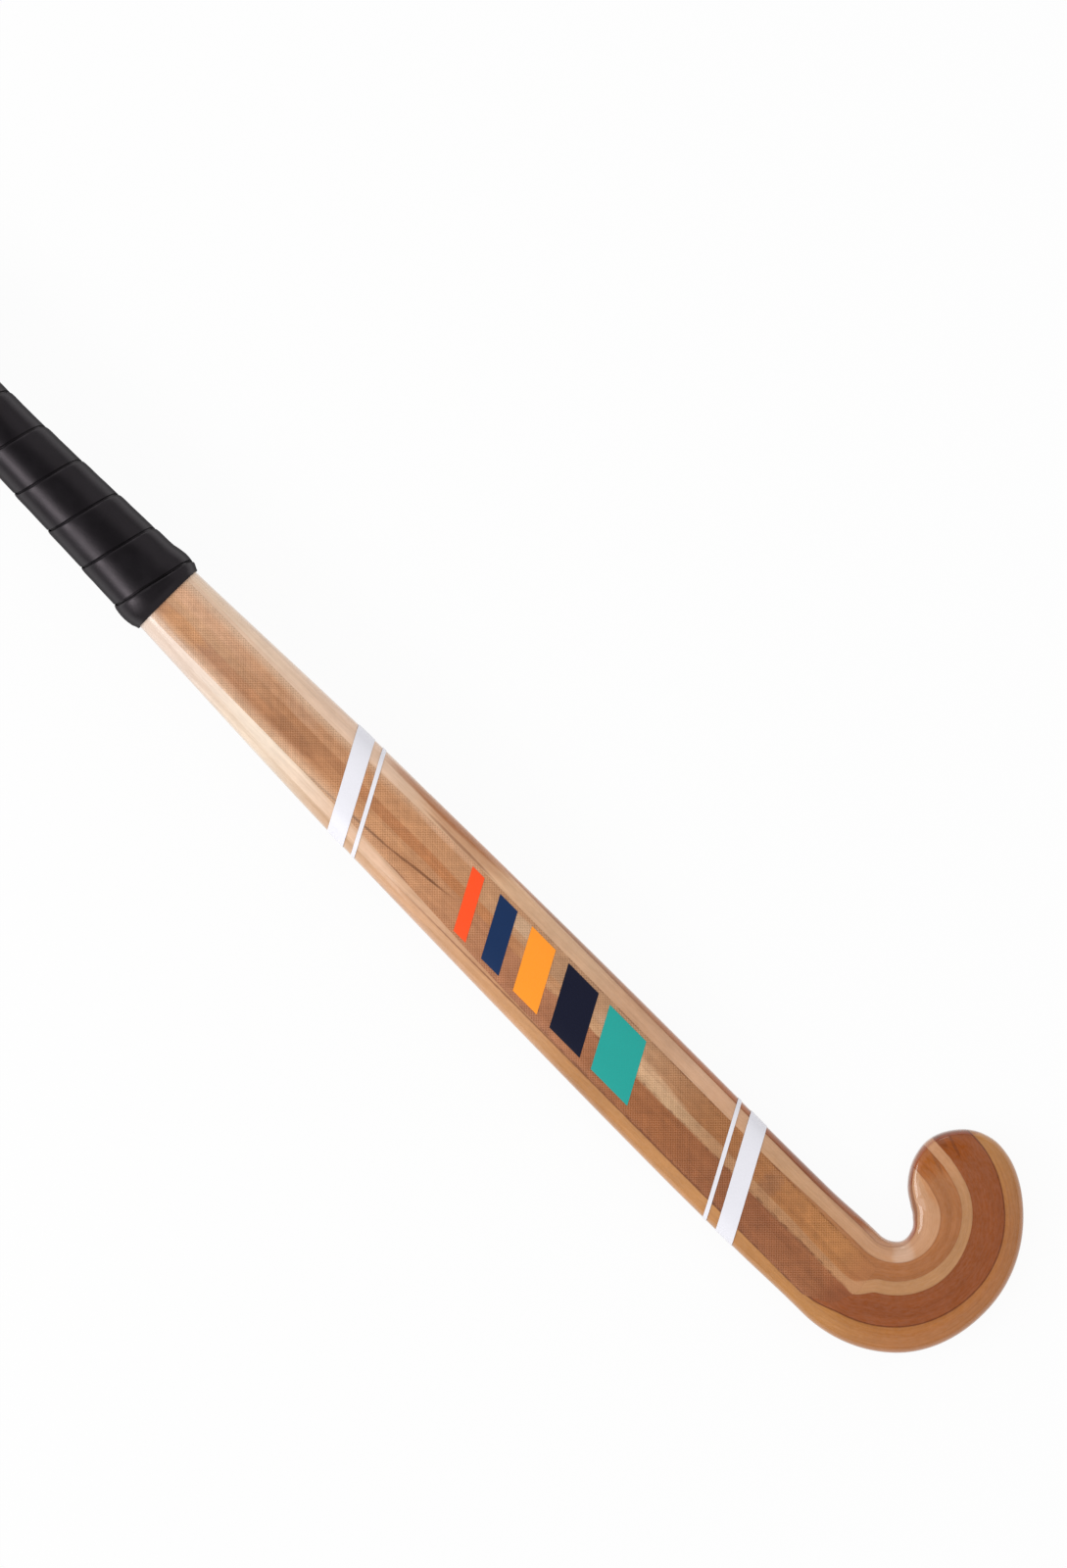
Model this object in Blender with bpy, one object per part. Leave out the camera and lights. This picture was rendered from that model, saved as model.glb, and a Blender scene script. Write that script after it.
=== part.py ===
"""Indoor hockey stick of bent and glued wooden plies, lying on its flat playing face.

+X runs from the butt to the head, +Y points to the toe of the hook and +Z comes out of the
rounded back. All sizes are in metres. The origin is under the middle of the whole stick.

A place on the stick has two coordinates. The station runs along it: on the shaft it is minus
the distance from the crook's centre towards the butt, round the crook it is an angle from 0
to 180 degrees, and round the toe's end it goes on from 180 to 270 degrees. The reach runs
across it, measured from the crook's centre line, so it grows from the inside of the hook to
the heel.
"""

import math

import bmesh
import bpy
import numpy as np

# Overall sizes
LENGTH = 0.927
BOW = 0.020
BOW_START = 0.012
BOW_PEAK = 0.300

# Head, seen in plan
CROOK_OUT = 0.0375
CROOK_RADIUS = 0.0111
CROOK_THROAT = 0.0090
TOE_FACE_REACH = 0.0069
HEEL_REACH = 0.0606
BASE_REACH = 0.0577
TOE_BACK_REACH = 0.0562
TOE_CORNER_REACH = 0.0566
TOE_TOP_REACH = 0.0529
TOE_TIP_REACH = 0.0317
TOE_OVERHANG = 0.0147
TOE_FACE_FLARE = 0.0012
TOE_INNER_SHOULDER = 0.0046
TOE_INNER_CORNER = 0.0128
TOE_OUTER_SHOULDER = 0.0030
TOE_OUTER_CORNER = 0.0126
TOE_CORNER_DROP = 0.0009

# How steeply the outline leaves the bend where the toe's end starts, and its spread at the tip
TOE_INNER_SLOPE = 0.62
TOE_OUTER_SLOPE = 0.41
TOE_TIP_SPREAD = 0.016

# Shaft and handle, seen in plan
HEEL_HALF_WIDTH = 0.0226
SHAFT_WIDTH = 0.0487
MID_WIDTH = 0.0438
NECK_WIDTH = 0.0346
HANDLE_WIDTH = 0.0254
SHAFT_STATION = 0.090
NECK_LENGTH = 0.1318
HANDLE_TAPER = 0.130
GRIP_LENGTH = 0.4475
HEEL_BLEND = 0.040
CROOK_BLEND = 0.030
EDGE_STRAY = 0.0006

# Thickness, from the flat face to the top of the back
HEAD_THICKNESS = 0.0195
MID_THICKNESS = 0.0225
NECK_THICKNESS = 0.0250
HANDLE_THICKNESS = 0.0262
EDGE_SHARE = 0.42
HANDLE_EDGE_SHARE = 0.50
SIDE_FLAT = 0.0010
FACE_CORNER = 0.0042
NECK_FACE_CORNER = 0.0115
TOE_END_ROUND = 0.0100
HEAD_SQUARENESS = 3.2
SHAFT_SQUARENESS = 2.7
NECK_SQUARENESS = 2.45
HANDLE_SQUARENESS = 2.1
HANDLE_ROUNDING = 0.045

# Plies, from the inside of the hook to the heel
EDGE_LINE_OUT = 0.0219
EDGE_PLY_CROOK = 0.0033
EDGE_PLY_BEND = 0.0017
EDGE_PLY_TOE = 0.0025
INNER_LINE_OUT = 0.0138
INNER_BEND_REACH = 0.0202
BROWN_PLY_SHAFT = 0.0098
BROWN_PLY_CROOK = 0.0137
BROWN_PLY_BEND = 0.0081
BROWN_PLY_TOE = 0.0101
LIGHT_PLY_SHAFT = 0.0049
LIGHT_PLY_CROOK = 0.0038
LIGHT_PLY_KINK = 0.0072
LIGHT_PLY_BEND = 0.0062
LIGHT_PLY_TOE = 0.0048
HEEL_LINE_OUT = 0.0168
HEEL_LINE_STRAY = 0.0004
HEEL_LINE_CROOK = 0.0525
HEEL_LINE_KINK = 0.0497
HEEL_LINE_HEEL = 0.0485
HEEL_LINE_BEND = 0.0475
HEEL_LINE_TOE = 0.0492
HEEL_LINE_SLOPE = 0.20
KINK_START = 6
KINK_MIDDLE = 17
KINK_END = 30
PLY_WANDER = 0.0006
GLUE_GAP = 0.0003
THINNEST_PLY = 0.0005

# Glass cloth on the back and on the face
CLOTH_THICKNESS = 0.0003
CLOTH_GAP = 0.0003
CLOTH_HEAD_END = 0.0095
FACE_CLOTH_START = 0.046
CLOTH_TOE_SIDE = 0.0148
CLOTH_HEEL_SIDE = 0.0165
CLOTH_NECK_TOE_SIDE = 0.0121
CLOTH_NECK_HEEL_SIDE = 0.0106
CLOTH_NARROW_LENGTH = 0.075
CLOTH_TOE_TAPER = 0.120
CLOTH_HEEL_TAPER = 0.210

# Grip tape
TAPE_PITCH = 0.022
TAPE_THICKNESS = 0.0013
TAPE_GAP = 0.0003
TAPE_SKIVE = 0.0030
TAPE_SEAM = 0.00115
TAPE_STEP = 0.0003
TAPE_CROWN = 0.00015
TAPE_CUT_SHARE = 0.35
TAPE_CUT_LENGTH = 0.0030
TAPE_TIP = 0.0010
BEAD_HEIGHT = 0.0010
BEAD_FROM_END = 0.0085
BEAD_HALF_LENGTH = 0.0085
SEAM_PHASE = 0.0181

# How finely the shapes are drawn
TURN_POINTS = 24
CHORD_DIPS = 1.5
LEAST_SPACING = 0.004
LAST_TOE_STATION = 262
HALVINGS = 36
LACQUER_ROUGHNESS = 0.25
CLOTH_ROUGHNESS = 0.30
TAPE_ROUGHNESS = 0.45

# Places that follow from the sizes above
BUTT = LENGTH - BASE_REACH
GRIP_START = BUTT - GRIP_LENGTH
MID_STATION = GRIP_START - NECK_LENGTH
CROOK_X = LENGTH / 2 - BASE_REACH
HALF_GAP = GLUE_GAP / 2


def smooth_curve(points, first_slope=0.0, last_slope=0.0):
    """A curve through (station, value) pairs that never overshoots them, level past both ends."""
    xs = [x for x, _ in points]
    ys = [y for _, y in points]
    gaps = [b - a for a, b in zip(xs, xs[1:])]
    rises = [(b - a) / gap for a, b, gap in zip(ys, ys[1:], gaps)]
    slopes = [first_slope]
    for before, after in zip(rises, rises[1:]):
        slopes.append(0.0 if before * after <= 0 else 2 * before * after / (before + after))
    slopes.append(last_slope)

    def value(x):
        if x <= xs[0]:
            return ys[0]
        if x >= xs[-1]:
            return ys[-1]
        i = max(k for k in range(len(gaps)) if xs[k] <= x)
        t = (x - xs[i]) / gaps[i]
        start = ys[i] * (1 + 2 * t) + slopes[i] * gaps[i] * t
        end = ys[i + 1] * (3 - 2 * t) - slopes[i + 1] * gaps[i] * (1 - t)
        return start * (1 - t) ** 2 + end * t**2

    return value


def smooth_step(t):
    t = min(max(t, 0.0), 1.0)
    return t * t * (3 - 2 * t)


# Half the shaft's width
half_width = smooth_curve(
    [
        (-BUTT, HANDLE_WIDTH / 2),
        (-GRIP_START - HANDLE_TAPER, HANDLE_WIDTH / 2),
        (-GRIP_START, NECK_WIDTH / 2),
        (-MID_STATION, MID_WIDTH / 2),
        (-SHAFT_STATION, SHAFT_WIDTH / 2),
    ]
)

# How far the two edges stray from an even shaft next to the head
HEEL_STEP = SHAFT_WIDTH / 2 - HEEL_HALF_WIDTH
CROOK_STEP = CROOK_OUT - CROOK_RADIUS - SHAFT_WIDTH / 2
heel_inset = smooth_curve([(-SHAFT_STATION, 0.0), (-HEEL_BLEND, EDGE_STRAY), (0, HEEL_STEP)])
crook_flare = smooth_curve([(-SHAFT_STATION, 0.0), (-CROOK_BLEND, EDGE_STRAY), (0, CROOK_STEP)])

# Outline of the head: its reach from the crook's centre
TOE_ROOT_REACH = TOE_FACE_REACH + TOE_FACE_FLARE
DEGREE = math.radians(1)
head_inside = smooth_curve(
    [
        (0, CROOK_RADIUS),
        (50, CROOK_RADIUS),
        (90, CROOK_THROAT),
        (135, TOE_FACE_REACH),
        (180, TOE_ROOT_REACH),
    ],
    last_slope=TOE_INNER_SLOPE * TOE_ROOT_REACH * DEGREE,
)
toe_inside = smooth_curve(
    [
        (180, TOE_ROOT_REACH),
        (200, TOE_FACE_REACH + TOE_INNER_SHOULDER),
        (229, TOE_TIP_REACH - TOE_INNER_CORNER),
        (270, TOE_TIP_REACH),
    ],
    first_slope=TOE_INNER_SLOPE * TOE_OVERHANG * DEGREE,
    last_slope=TOE_TIP_SPREAD * DEGREE,
)
head_outside = smooth_curve(
    [
        (0, CROOK_OUT + HEEL_HALF_WIDTH),
        (45, HEEL_REACH),
        (90, BASE_REACH),
        (135, TOE_BACK_REACH),
        (158, TOE_CORNER_REACH),
        (170, TOE_CORNER_REACH - TOE_CORNER_DROP),
        (180, TOE_TOP_REACH),
    ],
    last_slope=-TOE_OUTER_SLOPE * TOE_TOP_REACH * DEGREE,
)
toe_outside = smooth_curve(
    [
        (180, TOE_TOP_REACH),
        (200, TOE_TOP_REACH - TOE_OUTER_SHOULDER),
        (224, TOE_TIP_REACH + TOE_OUTER_CORNER),
        (270, TOE_TIP_REACH),
    ],
    first_slope=-TOE_OUTER_SLOPE * TOE_OVERHANG * DEGREE,
    last_slope=-TOE_TIP_SPREAD * DEGREE,
)


def inside(station):
    """Reach of the edge on the hook's side."""
    if station > 180:
        return toe_inside(station)
    if station >= 0:
        return head_inside(station)
    return CROOK_OUT - half_width(station) - crook_flare(station)


def outside(station):
    """Reach of the edge on the heel's side."""
    if station > 180:
        return toe_outside(station)
    if station >= 0:
        return head_outside(station)
    return CROOK_OUT + half_width(station) - heel_inset(station)


# Glue lines between the plies
edge_ply = smooth_curve(
    [(0, EDGE_PLY_CROOK), (60, EDGE_PLY_BEND), (120, EDGE_PLY_BEND), (180, EDGE_PLY_TOE)]
)
edge_line_shaft = smooth_curve([(-HEEL_BLEND, CROOK_OUT - EDGE_LINE_OUT), (0, CROOK_RADIUS + EDGE_PLY_CROOK)])
inner_line = smooth_curve(
    [
        (-SHAFT_STATION, CROOK_OUT - INNER_LINE_OUT),
        (0, INNER_BEND_REACH + PLY_WANDER),
        (60, INNER_BEND_REACH),
        (140, INNER_BEND_REACH - 2 * PLY_WANDER),
        (165, INNER_BEND_REACH - 2 * PLY_WANDER),
        (190, INNER_BEND_REACH),
        (270, INNER_BEND_REACH + PLY_WANDER),
    ]
)
brown_ply = smooth_curve(
    [
        (-SHAFT_STATION, BROWN_PLY_SHAFT),
        (0, BROWN_PLY_CROOK),
        (KINK_START, BROWN_PLY_CROOK),
        (KINK_END, BROWN_PLY_BEND),
        (70, BROWN_PLY_BEND),
        (180, BROWN_PLY_TOE),
    ]
)
light_ply = smooth_curve(
    [
        (-SHAFT_STATION, LIGHT_PLY_SHAFT),
        (0, LIGHT_PLY_CROOK),
        (KINK_START, LIGHT_PLY_CROOK),
        (KINK_MIDDLE, LIGHT_PLY_KINK),
        (KINK_END, LIGHT_PLY_BEND),
        (70, LIGHT_PLY_BEND),
        (120, LIGHT_PLY_TOE),
    ]
)
heel_line_shaft = smooth_curve(
    [
        (-SHAFT_STATION, CROOK_OUT + HEEL_LINE_OUT),
        (-CROOK_BLEND, CROOK_OUT + HEEL_LINE_OUT - HEEL_LINE_STRAY),
        (0, HEEL_LINE_CROOK),
    ],
    last_slope=-HEEL_LINE_SLOPE,
)
heel_line_bend = smooth_curve(
    [
        (0, HEEL_LINE_CROOK),
        (14, HEEL_LINE_KINK),
        (50, HEEL_LINE_HEEL),
        (90, HEEL_LINE_BEND),
        (140, HEEL_LINE_BEND),
        (185, HEEL_LINE_TOE),
    ],
    first_slope=-HEEL_LINE_SLOPE * HEEL_LINE_CROOK * DEGREE,
)


def glue_lines(station):
    """Reach of every boundary between plies, from the hook's side to the heel's side."""
    edge = inside(station) + edge_ply(station) if station >= 0 else edge_line_shaft(station)
    inner = inner_line(station)
    brown = inner + brown_ply(station)
    light = brown + light_ply(station)
    heel = heel_line_bend(station) if station >= 0 else heel_line_shaft(station)
    return [-math.inf, min(edge, inner), inner, brown, light, heel, math.inf]


def ply_sides(ply, station):
    """The reach of a ply's two sides here, cut by the stick's outline."""
    lines = glue_lines(station)
    low = max(inside(station), lines[ply] + HALF_GAP)
    high = min(outside(station), lines[ply + 1] - HALF_GAP)
    return low, high


# Shape of the cross-section along the stick
thickness = smooth_curve(
    [
        (-GRIP_START - HANDLE_TAPER, HANDLE_THICKNESS),
        (-GRIP_START, NECK_THICKNESS),
        (-MID_STATION, MID_THICKNESS),
        (0, HEAD_THICKNESS),
    ]
)
edge_share = smooth_curve([(-GRIP_START - HANDLE_TAPER, HANDLE_EDGE_SHARE), (-MID_STATION, EDGE_SHARE)])
squareness = smooth_curve(
    [
        (-GRIP_START - HANDLE_ROUNDING, HANDLE_SQUARENESS),
        (-GRIP_START, NECK_SQUARENESS),
        (-MID_STATION, SHAFT_SQUARENESS),
        (0, HEAD_SQUARENESS),
    ]
)
face_corner = smooth_curve(
    [
        (-GRIP_START - HANDLE_TAPER, HANDLE_WIDTH / 2),
        (-GRIP_START, NECK_FACE_CORNER),
        (-MID_STATION, FACE_CORNER),
    ]
)


def chord_dip(radius):
    """How far the flat between two points of the winding dips below the curve that it follows."""
    return CHORD_DIPS * radius * (1 - math.cos(math.pi / TURN_POINTS))


def tape_build():
    """How far the outside of the grip stands off the wood."""
    return TAPE_GAP + chord_dip(HANDLE_THICKNESS / 2) + TAPE_THICKNESS + max(TAPE_STEP, TAPE_CROWN)


def face_rise(station):
    """Height of the flat face: the head lies level and the shaft bows up off the ground."""
    along = -station if station < 0 else 0.0
    if along <= BOW_PEAK:
        return BOW * smooth_step((along - BOW_START) / (BOW_PEAK - BOW_START))
    fall = (along - BOW_PEAK) / (BUTT - BOW_PEAK)
    return BOW + (tape_build() - BOW) * fall**2


def toe_end_share(station, round_length, power):
    """Falls from 1 to 0 over the rounded end of the toe."""
    if station <= 180:
        return 1.0
    left = TOE_OVERHANG * (1 - math.sin(math.radians(station - 180)))
    t = min(left / round_length, 1.0)
    return max(1 - (1 - t) ** power, 0.0) ** (1 / power)


def across(station, reach):
    """Place across the section, from -1 at the hook's side to 1 at the heel's side."""
    low = inside(station)
    high = outside(station)
    half = max((high - low) / 2, 1e-6)
    return min(max((reach - (low + high) / 2) / half, -1.0), 1.0), half


def edge_height(station):
    return thickness(station) * edge_share(station)


def back_height(station, reach):
    w, _ = across(station, reach)
    power = squareness(station)
    edge = edge_height(station)
    dome = max(1 - abs(w) ** power, 0.0) ** (1 / power) * toe_end_share(station, TOE_END_ROUND, power)
    return face_rise(station) + edge + SIDE_FLAT / 2 + (thickness(station) - edge - SIDE_FLAT / 2) * dome


def face_height(station, reach):
    w, half = across(station, reach)
    edge = edge_height(station)
    corner = min(face_corner(station) / half, 1.0)
    t = max(abs(w) - (1 - corner), 0.0) / corner
    drop = math.sqrt(max(1 - t * t, 0.0)) * toe_end_share(station, FACE_CORNER, 2)
    return face_rise(station) + edge - SIDE_FLAT / 2 - (edge - SIDE_FLAT / 2) * drop


def plan_point(station, reach):
    """Plan place (x, y) before the stick is centred on the origin."""
    if station < 0:
        return CROOK_X + station, CROOK_OUT - reach
    if station <= 180:
        angle = math.radians(station)
        return CROOK_X + reach * math.sin(angle), CROOK_OUT - reach * math.cos(angle)
    overhang = TOE_OVERHANG * math.sin(math.radians(station - 180))
    return CROOK_X - overhang, CROOK_OUT + reach


def station_at(along, out):
    """Station and reach of a plan place: its distance up the shaft and out from the axis."""
    if along >= 0:
        return -along, CROOK_OUT - out
    angle = math.degrees(math.atan2(-along, CROOK_OUT - out))
    return angle, math.hypot(along, CROOK_OUT - out)


def outline_middle():
    """Where the middle of the plan outline lies, which goes to the origin."""
    stations = [-BUTT * k / 100 for k in range(1, 101)] + [2.0 * k for k in range(136)]
    places = [plan_point(s, inside(s)) for s in stations] + [plan_point(s, outside(s)) for s in stations]
    xs = [x for x, _ in places]
    ys = [y for _, y in places]
    return (min(xs) + max(xs)) / 2, (min(ys) + max(ys)) / 2


MIDDLE = outline_middle()


def placed(station, reach, height):
    x, y = plan_point(station, reach)
    return x - MIDDLE[0], y - MIDDLE[1], height


def material(name, colour, roughness, metallic=0.0):
    made = bpy.data.materials.new(name)
    made.use_nodes = True
    shader = made.node_tree.nodes["Principled BSDF"]
    shader.inputs["Base Color"].default_value = (*colour, 1.0)
    shader.inputs["Roughness"].default_value = roughness
    shader.inputs["Metallic"].default_value = metallic
    return made


def loft(name, rings, made, parent):
    """A closed body through rings of points, with a flat cap at both ends."""
    mesh = bpy.data.meshes.new(name)
    body = bmesh.new()
    rows = [[body.verts.new(point) for point in ring] for ring in rings]
    for first, second in zip(rows, rows[1:]):
        for k in range(len(first)):
            following = (k + 1) % len(first)
            body.faces.new((first[k], first[following], second[following], second[k]))
    body.faces.new(rows[0])
    body.faces.new(rows[-1])
    bmesh.ops.recalc_face_normals(body, faces=body.faces)
    body.to_mesh(mesh)
    body.free()
    mesh.shade_smooth()
    mesh.set_sharp_from_angle(angle=math.radians(40))
    mesh.materials.append(made)
    piece = bpy.data.objects.new(name, mesh)
    piece.parent = parent
    bpy.context.scene.collection.objects.link(piece)
    return piece


def path_stations():
    """Stations at which every ply has a section, closer together where the stick bends."""
    handle = np.linspace(-BUTT, -GRIP_START - HANDLE_TAPER, 5)
    taper = np.linspace(-GRIP_START - HANDLE_TAPER, -GRIP_START, 9)
    shaft = np.linspace(-GRIP_START, -SHAFT_STATION, 12)
    neck = np.linspace(-SHAFT_STATION, 0, 6)
    crook = np.concatenate([np.linspace(0, 30, 7), np.linspace(40, 180, 15)])
    toe = np.linspace(180, LAST_TOE_STATION, 9)
    return sorted({round(float(s), 6) for s in np.concatenate([handle, taper, shaft, neck, crook, toe])})


def ply_stations(ply):
    """The stations that a ply runs through, ending where the outline has cut it thin."""

    def wide(station):
        low, high = ply_sides(ply, station)
        return high - low > THINNEST_PLY

    def last_wide(good, thin):
        for _ in range(HALVINGS):
            middle = (good + thin) / 2
            good, thin = (middle, thin) if wide(middle) else (good, middle)
        return good

    stations = path_stations()
    kept = [s for s in stations if wide(s)]
    first = stations.index(kept[0])
    last = stations.index(kept[-1])
    if first > 0:
        kept.insert(0, last_wide(kept[0], stations[first - 1]))
    if last < len(stations) - 1:
        kept.append(last_wide(kept[-1], stations[last + 1]))
    return kept


def ply_ring(ply, station, steps):
    """One section of a ply, with its points closer together near the stick's rounded edges."""
    sides = [across(station, reach)[0] for reach in ply_sides(ply, station)]
    start, end = (math.asin(w) for w in sides)
    middle = (inside(station) + outside(station)) / 2
    half = (outside(station) - inside(station)) / 2
    reaches = [middle + half * math.sin(start + (end - start) * k / steps) for k in range(steps + 1)]
    back = [placed(station, reach, back_height(station, reach)) for reach in reaches]
    face = [placed(station, reach, face_height(station, reach)) for reach in reversed(reaches)]
    return back + face


def make_plies(parent):
    """Each ply's name, its steps across and its colour."""
    kinds = [
        ("edge_ply", 3, (0.21, 0.075, 0.036)),
        ("inner_ply", 4, (0.52, 0.31, 0.15)),
        ("brown_ply", 4, (0.36, 0.155, 0.055)),
        ("light_ply", 2, (0.50, 0.27, 0.11)),
        ("dark_ply", 5, (0.27, 0.095, 0.038)),
        ("heel_ply", 6, (0.46, 0.21, 0.075)),
    ]
    for ply, (name, steps, colour) in enumerate(kinds):
        rings = [ply_ring(ply, station, steps) for station in ply_stations(ply)]
        loft(name, rings, material(name, colour, LACQUER_ROUGHNESS), parent)


CLOTH_NARROW = GRIP_START - CLOTH_NARROW_LENGTH
cloth_toe_side = smooth_curve(
    [(-CLOTH_NARROW, CLOTH_NECK_TOE_SIDE), (-CLOTH_NARROW + CLOTH_TOE_TAPER, CLOTH_TOE_SIDE)]
)
cloth_heel_side = smooth_curve(
    [(-CLOTH_NARROW, CLOTH_NECK_HEEL_SIDE), (-CLOTH_NARROW + CLOTH_HEEL_TAPER, CLOTH_HEEL_SIDE)]
)


def cloth_ring(along, height, side):
    """One section of a cloth strip, lying over the surface that height gives."""
    steps = 8
    toe_side = cloth_toe_side(-along)
    heel_side = -cloth_heel_side(-along)
    outs = [toe_side + (heel_side - toe_side) * k / steps for k in range(steps + 1)]
    places = [station_at(along, out) for out in outs]
    near = [placed(s, r, height(s, r) + side * CLOTH_GAP) for s, r in places]
    far = [placed(s, r, height(s, r) + side * (CLOTH_GAP + CLOTH_THICKNESS)) for s, r in reversed(places)]
    return near + far


def make_cloths(parent):
    glass = material("glass_cloth", (0.40, 0.20, 0.09), CLOTH_ROUGHNESS)
    end = GRIP_START - TAPE_GAP
    for name, height, side, start in (
        ("back_glass_cloth", back_height, 1, -CLOTH_HEAD_END),
        ("face_glass_cloth", face_height, -1, FACE_CLOTH_START),
    ):
        places = [-s for s in reversed(path_stations()) if s < 0]
        between = [along for along in places if start + LEAST_SPACING < along < end - LEAST_SPACING]
        rings = [cloth_ring(along, height, side) for along in [start, *between, end]]
        loft(name, rings, glass, parent)


def handle_radius(along, angle):
    """Distance from the handle's middle to its surface in this direction, found by halving."""
    station = -along
    middle = face_rise(station) + edge_height(station)
    low = 0.0
    high = 2 * half_width(station) + thickness(station)
    for _ in range(HALVINGS):
        radius = (low + high) / 2
        out = radius * math.cos(angle)
        height = middle + radius * math.sin(angle)
        reach = CROOK_OUT - out
        within = abs(out) < half_width(station)
        within = within and face_height(station, reach) < height < back_height(station, reach)
        low, high = (radius, high) if within else (low, radius)
    return low


def handle_point(along, angle, offset):
    """A point this far off the handle's surface, straight out from it, with the dip allowed for."""
    nudge = 0.02
    radii = [handle_radius(along, angle + turn) for turn in (-nudge, 0.0, nudge)]
    offset += chord_dip(radii[1])
    slope = (radii[2] - radii[0]) / (2 * nudge) / radii[1]
    lean = angle - math.atan(slope)
    out = radii[1] * math.cos(angle) + offset * math.cos(lean)
    height = radii[1] * math.sin(angle) + offset * math.sin(lean)
    station = -along
    return placed(station, CROOK_OUT - out, face_rise(station) + edge_height(station) + height)


def tape_offset(along):
    """How far the tape's outside stands off the wood, with its cut end thinned and its bead."""
    cut = smooth_step((along - GRIP_START) / TAPE_CUT_LENGTH)
    share = TAPE_CUT_SHARE + (1 - TAPE_CUT_SHARE) * cut
    t = (along - GRIP_START - BEAD_FROM_END) / BEAD_HALF_LENGTH
    bead = BEAD_HEIGHT * math.cos(math.pi / 2 * t) ** 2 if abs(t) < 1 else 0.0
    return TAPE_GAP + TAPE_THICKNESS * share + bead


def tape_ring(wound):
    """One section of the tape: skived on both edges, so that each turn laps the one before it."""
    angle = -wound
    seam = BUTT + TAPE_PITCH + SEAM_PHASE - TAPE_PITCH * wound / (2 * math.pi)
    head_outer = min(max(seam - TAPE_PITCH + TAPE_SEAM, GRIP_START), BUTT)
    head_inner = min(max(seam - TAPE_PITCH + TAPE_SEAM - TAPE_SKIVE, GRIP_START), BUTT)
    butt_outer = min(seam, BUTT)
    butt_inner = min(seam - TAPE_SKIVE, BUTT)
    middle = (head_outer + butt_outer) / 2
    step = TAPE_STEP * smooth_step((BUTT - butt_outer) / TAPE_CUT_LENGTH)
    return [
        handle_point(head_inner, angle, TAPE_GAP),
        handle_point(butt_inner, angle, TAPE_GAP),
        handle_point(butt_outer, angle, tape_offset(butt_outer) + step),
        handle_point(middle, angle, tape_offset(middle) + TAPE_CROWN),
        handle_point(head_outer, angle, tape_offset(head_outer)),
    ]


def tape_turns():
    """How far each section is wound, from the butt to where the straight-cut end has tapered off."""
    per_metre = 2 * math.pi / TAPE_PITCH
    start = (SEAM_PHASE + TAPE_SEAM + TAPE_TIP) * per_metre
    end = (GRIP_LENGTH + TAPE_PITCH + SEAM_PHASE - TAPE_SKIVE - TAPE_TIP) * per_metre
    step = 2 * math.pi / TURN_POINTS
    count = int((end - start) / step)
    return [start + step * k for k in range(count + 1)]


def filled_in(ring):
    """Points along the sides of a section, close enough to measure from."""
    corners = np.array(ring)
    shares = np.linspace(0, 1, 12, endpoint=False)[:, None]
    return np.concatenate([a + (b - a) * shares for a, b in zip(corners, np.roll(corners, -1, axis=0))])


def least_gap(rings):
    """The least distance between a section of the tape and those one turn further on."""
    sections = [filled_in(ring) for ring in rings]
    least = math.inf
    for k in range(len(sections) - TURN_POINTS):
        apart = sections[k][:, None] - sections[k + TURN_POINTS][None]
        least = min(least, float(np.sqrt((apart**2).sum(axis=2)).min()))
    return least


def make_grip(parent):
    rings = [tape_ring(wound) for wound in tape_turns()]
    turns = len(rings) / TURN_POINTS
    print(f"grip_tape: {turns:.1f} turns, least gap to itself {least_gap(rings) * 1000:.2f} mm")
    loft("grip_tape", rings, material("grip_tape", (0.012, 0.011, 0.011), TAPE_ROUGHNESS), parent)


def clear_scene():
    for old in list(bpy.data.objects):
        bpy.data.objects.remove(old, do_unlink=True)


def main():
    clear_scene()
    stick = bpy.data.objects.new("stick", None)
    bpy.context.scene.collection.objects.link(stick)
    make_plies(stick)
    make_cloths(stick)
    make_grip(stick)


main()
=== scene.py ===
"""Looks of the indoor hockey stick: lacquered plies, woven glass cloth, painted marks and a wound grip.

The stick is drawn with the same sizes and formulas as its solids, only finer. A place on it has a
station along it and a reach across it: the station is minus the distance up the shaft from the
crook's centre, then an angle from 0 to 180 degrees round the crook, then 180 to 270 degrees round
the toe's end. The reach is measured from the crook's centre line, towards the heel.
"""

import functools
import math
from collections import namedtuple

import bpy
import numpy as np
from mathutils import Matrix, Vector, noise


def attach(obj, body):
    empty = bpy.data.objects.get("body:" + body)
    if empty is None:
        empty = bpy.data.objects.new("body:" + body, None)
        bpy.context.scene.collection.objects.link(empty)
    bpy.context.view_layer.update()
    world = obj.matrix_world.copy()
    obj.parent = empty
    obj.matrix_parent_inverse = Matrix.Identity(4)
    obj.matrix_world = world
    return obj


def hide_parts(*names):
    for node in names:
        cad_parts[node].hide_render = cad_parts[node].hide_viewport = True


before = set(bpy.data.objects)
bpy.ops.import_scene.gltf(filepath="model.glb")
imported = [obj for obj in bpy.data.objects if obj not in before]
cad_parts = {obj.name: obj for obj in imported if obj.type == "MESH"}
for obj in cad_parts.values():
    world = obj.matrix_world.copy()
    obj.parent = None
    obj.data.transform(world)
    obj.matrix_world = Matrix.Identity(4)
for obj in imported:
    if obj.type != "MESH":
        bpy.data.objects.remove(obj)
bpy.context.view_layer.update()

# Overall sizes
LENGTH = 0.927
BOW = 0.020
BOW_START = 0.012
BOW_PEAK = 0.300

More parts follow.
